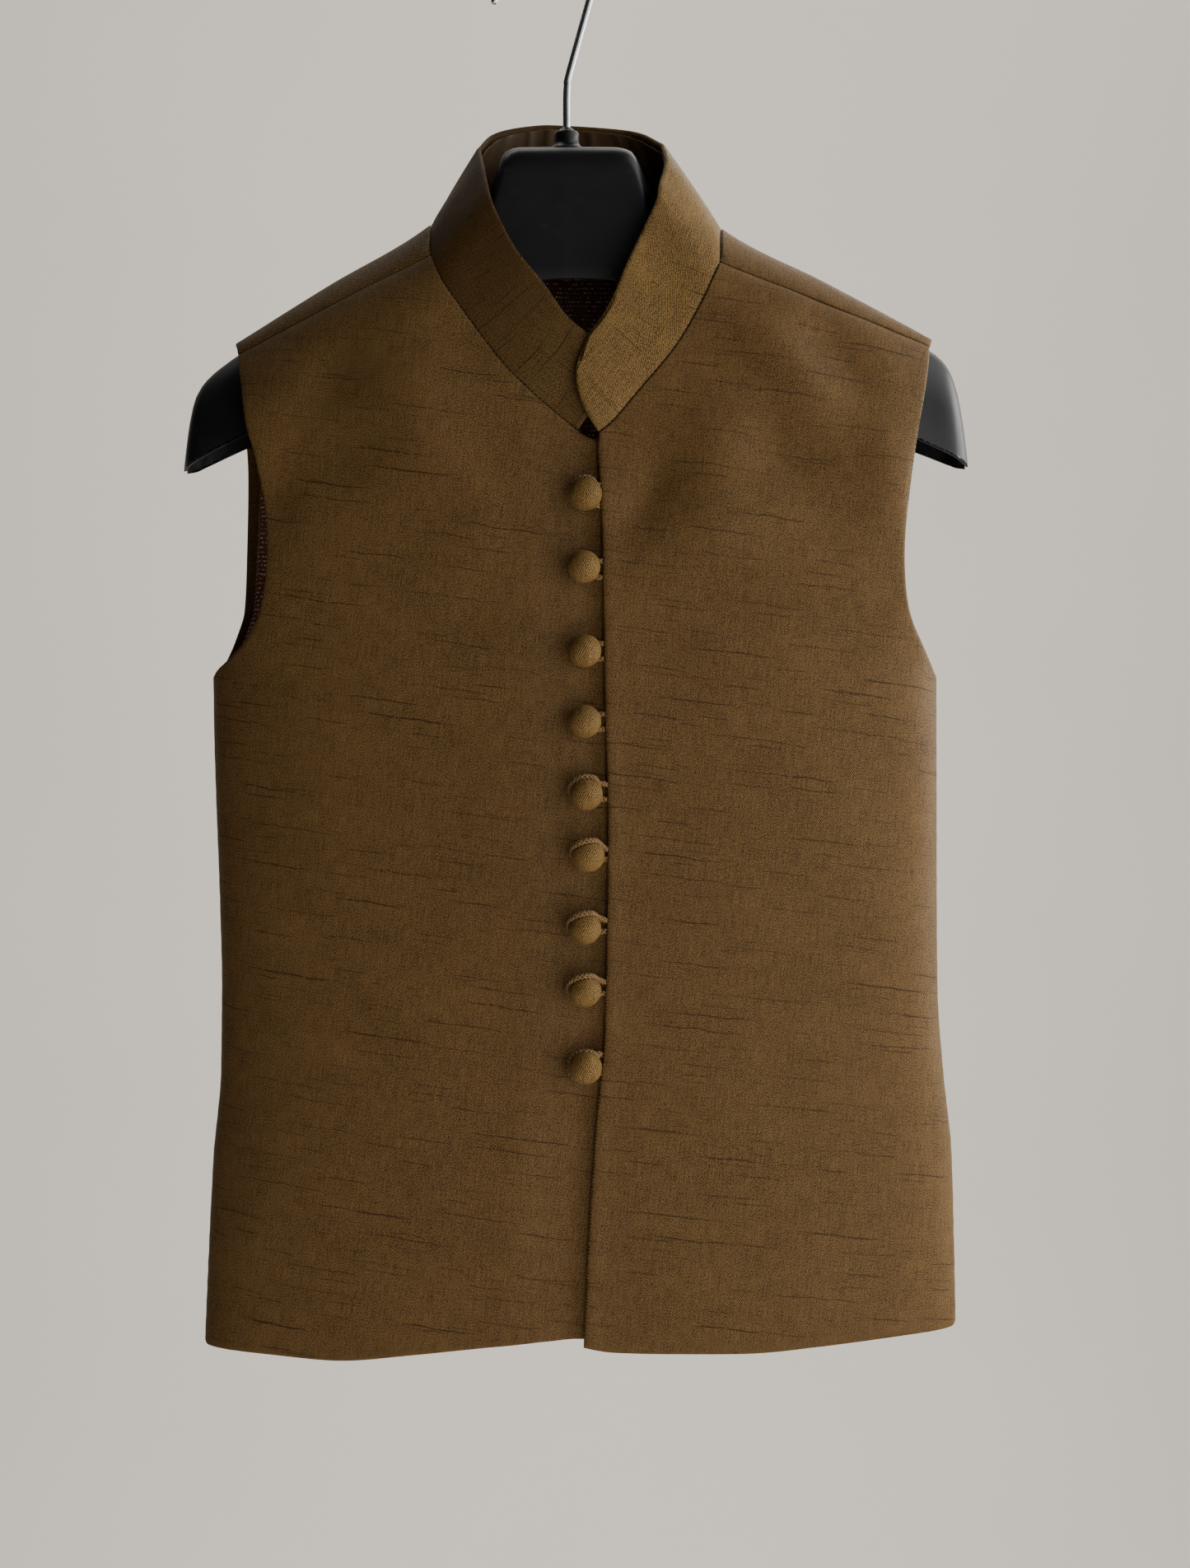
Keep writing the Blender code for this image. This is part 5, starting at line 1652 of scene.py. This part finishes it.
def hook_steel():
    """Bright plated wire, with fine drawing marks along it."""
    f = Finish("hook_steel", Metallic=1.0)
    marks = f.flecks(0.25, 7.0, detail=3.0)
    spots = f.flecks(1.6, 2.4).smooth(0.6, 0.75)
    colour = f.mixed(spots * 0.5 + marks * 0.3, STEEL_BRIGHT, STEEL_DULL)
    return f.finish(colour, 0.2 + marks * 0.14 + spots * 0.12, marks, depth=0.00004, strength=0.3)


def thread_finish():
    """Sewing thread with a fine twist."""
    f = Finish("seam_thread", Specular_IOR_Level=0.4, Sheen_Weight=0.2)
    twist = f.flecks(0.2)
    return f.finish(f.mixed(twist, THREAD_DARK, THREAD_LIGHT), 0.6, twist, depth=0.00004, strength=0.4)


# The sizes of a round braid and of a row of stitches, in metres, and how far apart the points
# along a braid's strands are.
BRAID = {"Strands": 6, "Cord radius": 0.8 * MM, "Strand radius": 0.42 * MM, "Pitch": 5.4 * MM}
STITCHES = {"Spacing": 2.2 * MM, "Stitch length": 1.3 * MM, "Thread radius": 0.14 * MM, "Seed": 3}
BRAID_STEP = 0.22 * MM
# How far in from the collar's seam its stitches lie, in millimetres.
STITCH_DEPTH = 0.55


class Maker(Nodes):
    """A Geometry Nodes tree in the making, with named inputs for its sizes."""

    def __init__(self, name, sizes):
        group = bpy.data.node_groups.new(name, "GeometryNodeTree")
        super().__init__(group)
        group.interface.new_socket("Geometry", in_out="INPUT", socket_type="NodeSocketGeometry")
        for label, value in sizes.items():
            kind = "NodeSocketInt" if isinstance(value, int) else "NodeSocketFloat"
            socket = group.interface.new_socket(label, in_out="INPUT", socket_type=kind)
            socket.default_value = value
        group.interface.new_socket("Geometry", in_out="OUTPUT", socket_type="NodeSocketGeometry")
        self.entry = self.node("NodeGroupInput")

    def size(self, label):
        return self.field(self.entry.outputs[label])

    def evenly(self, spacing):
        """The guiding curve, with its points at even spacing."""
        curve = {"Curve": self.entry.outputs[0], "Length": spacing}
        return self.node("GeometryNodeResampleCurve", {"mode": "LENGTH"}, curve).outputs[0]

    def tube(self, line, radius):
        """A six-sided tube with closed ends along a curve."""
        size = {"Resolution": 6, "Radius": radius}
        rim = self.node("GeometryNodeCurvePrimitiveCircle", {"mode": "RADIUS"}, size).outputs[0]
        return self.node("GeometryNodeCurveToMesh", None, {0: line, 1: rim, "Fill Caps": True}).outputs[0]

    def close(self, geometry, material):
        """Ends the tree: instances made real, then the material."""
        real = self.node("GeometryNodeRealizeInstances", None, {0: geometry}).outputs[0]
        smooth = self.node("GeometryNodeSetShadeSmooth", None, {0: real}).outputs[0]
        dressed = self.node("GeometryNodeSetMaterial", None, {"Geometry": smooth, "Material": material})
        self.node("NodeGroupOutput", None, {0: dressed.outputs[0]})
        return self.tree


def braid_maker(material):
    """A round braid along a curve: strands wind both ways and pass over and under each other."""
    m = Maker("round braid", BRAID)
    strands, radius = m.size("Strands"), m.size("Cord radius")
    line = m.evenly(BRAID_STEP)
    copies = m.node("GeometryNodeDuplicateElements", {"domain": "SPLINE"}, {0: line, "Amount": strands})
    number = m.field(copies.outputs["Duplicate Index"])
    hand = 1.0 - number.modulo(2.0) * 2.0
    start = (number / 2.0).floor() * (4 * math.pi) / strands
    length = m.field(m.node("GeometryNodeSplineParameter").outputs["Length"])
    wound = length * (2 * math.pi) / m.size("Pitch")
    angle = hand * wound + start
    reach = radius + hand * (wound * 3.0).cosine() * radius * 0.2
    normal = m.node("GeometryNodeInputNormal").outputs[0]
    tangent = m.node("GeometryNodeInputTangent").outputs[0]
    side = m.node("ShaderNodeVectorMath", {"operation": "CROSS_PRODUCT"}, {0: tangent, 1: normal}).outputs[0]
    steps = []
    for direction, amount in ((normal, angle.cosine() * reach), (side, angle.sine() * reach)):
        scaled = m.node("ShaderNodeVectorMath", {"operation": "SCALE"}, {0: direction, "Scale": amount})
        steps.append(scaled.outputs[0])
    offset = m.node("ShaderNodeVectorMath", {"operation": "ADD"}, {0: steps[0], 1: steps[1]}).outputs[0]
    wind = m.node("GeometryNodeSetPosition", None, {0: copies.outputs[0], "Offset": offset})
    return m.close(m.tube(wind.outputs[0], m.size("Strand radius")), material)


def stitch_maker(material):
    """A row of small stitches along a curve, each a short bowed thread, uneven by a fixed seed."""
    m = Maker("stitch row", STITCHES)
    half = m.size("Stitch length") * 0.5
    ends = []
    for way in (-1.0, 1.0):
        ends.append(m.node("ShaderNodeCombineXYZ", None, {0: half * way}).outputs[0])
    bow = m.node("ShaderNodeCombineXYZ", None, {2: half * 0.7}).outputs[0]
    bend = {"Resolution": 6, "Start": ends[0], "Middle": bow, "End": ends[1]}
    arc = m.node("GeometryNodeCurveQuadraticBezier", None, bend).outputs[0]
    tangent = m.node("GeometryNodeInputTangent").outputs[0]
    turn = m.node("FunctionNodeAlignRotationToVector", {"axis": "X"}, {"Vector": tangent})
    spread = {2: 0.75, 3: 1.15, "Seed": m.size("Seed")}
    sizes = m.node("FunctionNodeRandomValue", {"data_type": "FLOAT"}, spread)
    row = {
        "Points": m.evenly(m.size("Spacing")),
        "Instance": m.tube(arc, m.size("Thread radius")),
        "Rotation": turn.outputs[0],
        "Scale": sizes.outputs[1],
    }
    return m.close(m.node("GeometryNodeInstanceOnPoints", None, row).outputs[0], material)


def made_along(name, path, maker, sizes):
    """Runs a maker along a path in millimetres and returns its plain mesh piece."""
    curve = bpy.data.curves.new(name + "_line", "CURVE")
    curve.dimensions = "3D"
    spline = curve.splines.new("POLY")
    spline.points.add(len(path) - 1)
    for point, p in zip(spline.points, path):
        point.co = (*(Vector(p) * MM), 1.0)
    guide = add_object(name + "_line", curve)
    modifier = guide.modifiers.new("maker", "NODES")
    modifier.node_group = maker
    for item in maker.interface.items_tree:
        if item.in_out == "INPUT" and item.name in sizes:
            modifier[item.identifier] = sizes[item.name]
    graph = bpy.context.evaluated_depsgraph_get()
    mesh = bpy.data.meshes.new_from_object(guide.evaluated_get(graph))
    mesh.name = name
    guide.modifiers.remove(modifier)
    bpy.data.objects.remove(guide)
    return add_object(name, mesh)


def braided_loop(number, path, maker):
    """A button's loop: its braid along its path."""
    piece = made_along(f"braided_loop_{number}", path, maker, BRAID)
    stand_for(piece, "loop_braid", f"loop_{number}")


def seam_stitches(rows, normals, maker):
    """The small stitches that show in the collar's seam."""
    line = [p - n * STITCH_DEPTH for p, n in zip(rows[0], normals[0])]
    stand_for(made_along("collar_seam_stitches", line[1:-1], maker, STITCHES), "slub_silk")


def block_back_lift(x):
    """How much higher the hanger's back wall ends than its front at x."""
    (left, left_full), (right_full, right) = BLOCK_EDGES
    return BLOCK_BACK_LIFT * blend(left, left_full, x) * (1 - blend(right_full, right, x))


def hanger_shell(material):
    """The moulded half-form: an open-bottomed shell over the shoulders, with a neck block."""
    stations = HANGER.columns["x"]
    xs = []
    for a, b in zip(stations, stations[1:]):
        pieces = max(2, round((b - a) / HANGER_STATION))
        xs += [mix(a, b, k / pieces) for k in range(pieces)]
    xs.append(stations[-1])
    rows = []
    for x in xs:
        top, low, depth, arch, square = (
            HANGER.read(name, x) for name in ("top", "low", "depth", "arch", "square")
        )
        arch = min(arch, (top - low) * HANGER_ARCH_SHARE)
        line = []
        for k in range(HANGER_SECTION_STEPS + 1):
            way = mix(-1, 1, k / HANGER_SECTION_STEPS)
            past = abs(way) - (1 - HANGER_STRAIGHT)
            turn = min(1.0, abs(way) / (1 - HANGER_STRAIGHT)) * math.pi / 2
            y = depth * math.sin(turn) ** (2 / square)
            z = top - arch * (1 - math.cos(turn) ** (2 / square))
            if past > 0:
                end = low + block_back_lift(x) if way > 0 else low
                z = mix(top - arch, end, past / HANGER_STRAIGHT)
            crease = MOULD_LINE[0] * bell(x - MOULD_LINE[1], MOULD_LINE[2])
            line.append(Vector((x, math.copysign(y + crease, way), z)))
        rows.append(line)
    normals = grid_normals(rows, out_from=(HANGER_CENTRE_X, 0, -160))
    walls = [min(HANGER_WALL, HANGER_WALL_SHARE * HANGER.read("depth", x)) for x in xs]
    flat = [[(p.x, p.z) for p in row] for row in rows]
    piece = sheet_shell("hanger_shell", rows, normals, walls, flat, [material])
    stand_for(piece, "hanger_plastic", "hanger_form")


def turned_piece(name, node, profile, material, slot, sides):
    """A solid of revolution about the hook's shank; profile is (radius, height) from pole to pole."""
    rings = profile[1:-1]
    points = [Vector((SHANK_X, 0, profile[0][1]))]
    for radius, height in rings:
        points += [Vector((SHANK_X + radius * x, radius * y, height)) for _, x, y in circle(sides)]
    points.append(Vector((SHANK_X, 0, profile[-1][1])))
    piece = make_piece(name, points, spun_faces(len(rings), sides), [material])
    turn_outwards(piece)
    piece.data.set_sharp_from_angle(angle=SHARP_ANGLE)
    stand_for(piece, slot, node)


def hook_path():
    """The wire's middle line: up from its socket, leaning out, over the rail and down to its tip."""
    x = SHANK_X
    flat = [(x, WIRE_FOOT_Z), (x, WIRE_STRAIGHT_Z), (x, WIRE_BEND[0][0])]
    for (low, lean_low), (high, lean_high) in zip(WIRE_BEND, WIRE_BEND[1:]):
        lean = math.radians((lean_low + lean_high) / 2)
        x += (high - low) * math.tan(lean)
        flat.append((x, high))
    centre_z = WIRE_RADIUS - HOOK_RADIUS
    for k in range(HOOK_STEPS + 1):
        angle = -HOOK_LEAN + HOOK_SWEEP * k / HOOK_STEPS
        flat.append((HOOK_RADIUS * math.cos(angle), centre_z + HOOK_RADIUS * math.sin(angle)))
    flat += list(HOOK_TIP)
    return even_points([(x, 0.0, z) for x, z in flat], WIRE_STEPS)


def hook_rod(material):
    """The bent wire, with its tip rounded over."""
    path = hook_path()
    radii = [WIRE_RADIUS] * (len(path) - 2) + [WIRE_RADIUS * share for share in WIRE_TIP]
    points, faces = [], []
    for i, p in enumerate(path):
        ahead = (path[min(i + 1, len(path) - 1)] - path[max(i - 1, 0)]).normalized()
        across = ahead.cross(Vector((0, 1, 0))).normalized()
        out = across.cross(ahead)
        points += [p + (across * x + out * y) * radii[i] for _, x, y in circle(WIRE_SIDES)]
    for i in range(len(path) - 1):
        for k in range(WIRE_SIDES):
            a, b = i * WIRE_SIDES + k, i * WIRE_SIDES + (k + 1) % WIRE_SIDES
            faces.append([a, b, b + WIRE_SIDES, a + WIRE_SIDES])
    faces.append(list(reversed(range(WIRE_SIDES))))
    faces.append(list(range(len(points) - WIRE_SIDES, len(points))))
    piece = make_piece("hook_rod", points, faces, [material])
    turn_outwards(piece)
    stand_for(piece, "hook_steel", "hook_wire")


CAMERA_PLACE = (0.0228, -1.140, -0.3847)
CAMERA_LENS = 58.25
FLOOR_Z = -2.1
BACKDROP_Y = 2.3
BACKDROP_STEPS = 16


def place_camera():
    """Level, straight on, at the distance that gives the photograph's perspective."""
    lens = bpy.data.cameras.new("camera")
    lens.sensor_fit = "VERTICAL"
    lens.sensor_height = 36.0
    lens.lens = CAMERA_LENS
    lens.clip_start = 0.05
    camera = add_object("camera", lens)
    camera.location = CAMERA_PLACE
    camera.rotation_euler = (math.radians(90), 0, 0)
    bpy.context.scene.camera = camera


def pale_finish():
    """The floor's and backdrop's own finish: pale, with a faint cloudiness."""
    f = Finish("pale_backdrop", Specular_IOR_Level=0.15)
    return f.finish(f.mixed(f.flecks(300.0), PALE_LOW, PALE_HIGH), 0.9)


def backdrop():
    """A pale floor that sweeps up behind the garment, too far off to come before any camera."""
    bend, half, near, top = 1.4, 4.5, -4.5, 4.0
    foot = BACKDROP_Y - bend
    profile = [(near, FLOOR_Z), (foot, FLOOR_Z)]
    for k in range(1, BACKDROP_STEPS + 1):
        angle = math.pi / 2 * k / BACKDROP_STEPS
        profile.append((foot + bend * math.sin(angle), FLOOR_Z + bend * (1 - math.cos(angle))))
    profile.append((BACKDROP_Y, top))
    points = [Vector((x, y, z)) / MM for y, z in profile for x in (-half, half)]
    faces = [[2 * k, 2 * k + 1, 2 * k + 3, 2 * k + 2] for k in range(len(profile) - 1)]
    floor = make_piece("pale_floor", points, faces, [pale_finish()])


def soft_light(name, place, aim, size, energy, colour):
    """A large soft lamp at place, turned towards aim, all in metres."""
    lamp = bpy.data.lights.new(name, "AREA")
    lamp.shape = "RECTANGLE"
    lamp.size, lamp.size_y = size
    lamp.energy = energy
    lamp.color = colour
    holder = add_object(name, lamp)
    holder.location = place
    holder.rotation_euler = (Vector(aim) - Vector(place)).to_track_quat("-Z", "Y").to_euler()
    holder.visible_camera = False


def light_the_room():
    """Soft windows to the photo's right, fainter ones round the rest, and a pale sky for the camera."""
    aim, wall, ground = (0.02, 0.0, -0.38), (0.0, BACKDROP_Y, -0.3), (0.0, -1.5, FLOOR_Z)
    lamps = (
        ("window", (0.87, -0.617, -0.6), aim, (1.8, 1.5), 12.6, (1.0, 0.98, 0.97)),
        ("near_window", (0.637, -0.85, -0.6), aim, (1.6, 1.4), 3.5, (1.0, 0.93, 0.94)),
        ("far_window", (1.04, 0.254, -0.12), aim, (0.7, 0.9), 15.5, (1.0, 0.99, 0.96)),
        ("over", (0.9, -0.3, 0.6), aim, (0.9, 0.8), 5.4, (1.0, 0.99, 0.98)),
        ("floor_bounce", (-0.15, -0.75, -1.15), (-0.05, 0.0, -0.6), (1.4, 0.8), 1.9, (1.0, 0.91, 0.93)),
        ("behind", (0.4, 1.3, 2.2), wall, (4.5, 0.9), 54.0, (1.0, 0.98, 0.94)),
        ("on_the_backdrop", (0.1, 1.1, -0.4), wall, (2.4, 2.8), 20.0, (1.0, 0.97, 0.91)),
        ("back_window", (0.3, 1.35, 0.2), aim, (1.0, 1.0), 9.0, (1.0, 0.98, 0.96)),
        ("on_the_floor", (0.0, -1.5, -1.1), ground, (5.0, 4.0), 30.0, (1.0, 0.98, 0.95)),
    )
    for lamp in lamps:
        soft_light(*lamp)
    world = bpy.data.worlds.new("room")
    bpy.context.scene.world = world
    world.use_nodes = True
    room = Nodes(world.node_tree)
    faint = world.node_tree.nodes["Background"]
    for key, value in (("Color", (0.92, 0.94, 1.0, 1)), ("Strength", 0.02)):
        faint.inputs[key].default_value = value
    sky = room.node("ShaderNodeBackground", None, {"Color": (0.80, 0.77, 0.72, 1), "Strength": 0.8})
    seen = room.node("ShaderNodeLightPath").outputs["Is Camera Ray"]
    both = room.node("ShaderNodeMixShader", None, {0: seen, 1: faint.outputs[0], 2: sky.outputs[0]})
    room.put(world.node_tree.nodes["World Output"].inputs["Surface"], both.outputs[0])


def dress():
    """Makes every piece of the garment and its hanger."""
    silk = slub_silk()
    button_silk = slub_silk("button_silk", 0.0, BUTTON_LIGHT, 0.95)
    satin = lining_satin("lining_satin", SATIN_DARK, SATIN_LIGHT, dashes=True)
    strip_satin = lining_satin("strip_satin", STRIP_DARK, STRIP_LIGHT, dashes=False)
    plastic = hanger_plastic()
    cloths = [silk, satin]
    sides = (
        ("left", LAP_EDGE, LEFT_HEM, LEFT_NECKLINE, (170, -250), LEFT_ARMHOLE, False),
        ("right", UNDERLAP_EDGE, RIGHT_HEM, RIGHT_NECKLINE, (-140, -250), RIGHT_ARMHOLE, True),
    )
    for side, edge, hem, seam, towards, armhole, tucked in sides:
        neckline = move_off(even_points(seam, NECK_ROWS), SEAM_GAP, towards)
        node = side + "_front"
        slope = FRONT_GRAIN[side]
        front_panel(node + "_panel", node, edge, hem, neckline, armhole, cloths, tucked, slope)
    points, normals, flat = back_grid()
    back_panel(points, normals, flat, [silk])
    back_lining(points, normals, flat, [satin])
    rows, directions = collar_grid()
    collar_band(rows, directions)
    collar_strip(rows, directions, [strip_satin])
    seam_stitches(rows, directions, stitch_maker(thread_finish()))
    braid = braid_maker(loop_braid())
    for values in zip(*BUTTONS.columns.values()):
        row = dict(zip(BUTTONS.columns, values))
        path = loop_path(row)
        covered_button(row, path, button_silk)
        braided_loop(row["number"], path, braid)
    hanger_shell(plastic)
    turned_piece("hook_ferrule", "hook_socket", SOCKET_PROFILE, plastic, "hanger_plastic", 48)
    hook_rod(hook_steel())


dress()
place_camera()
backdrop()
light_the_room()
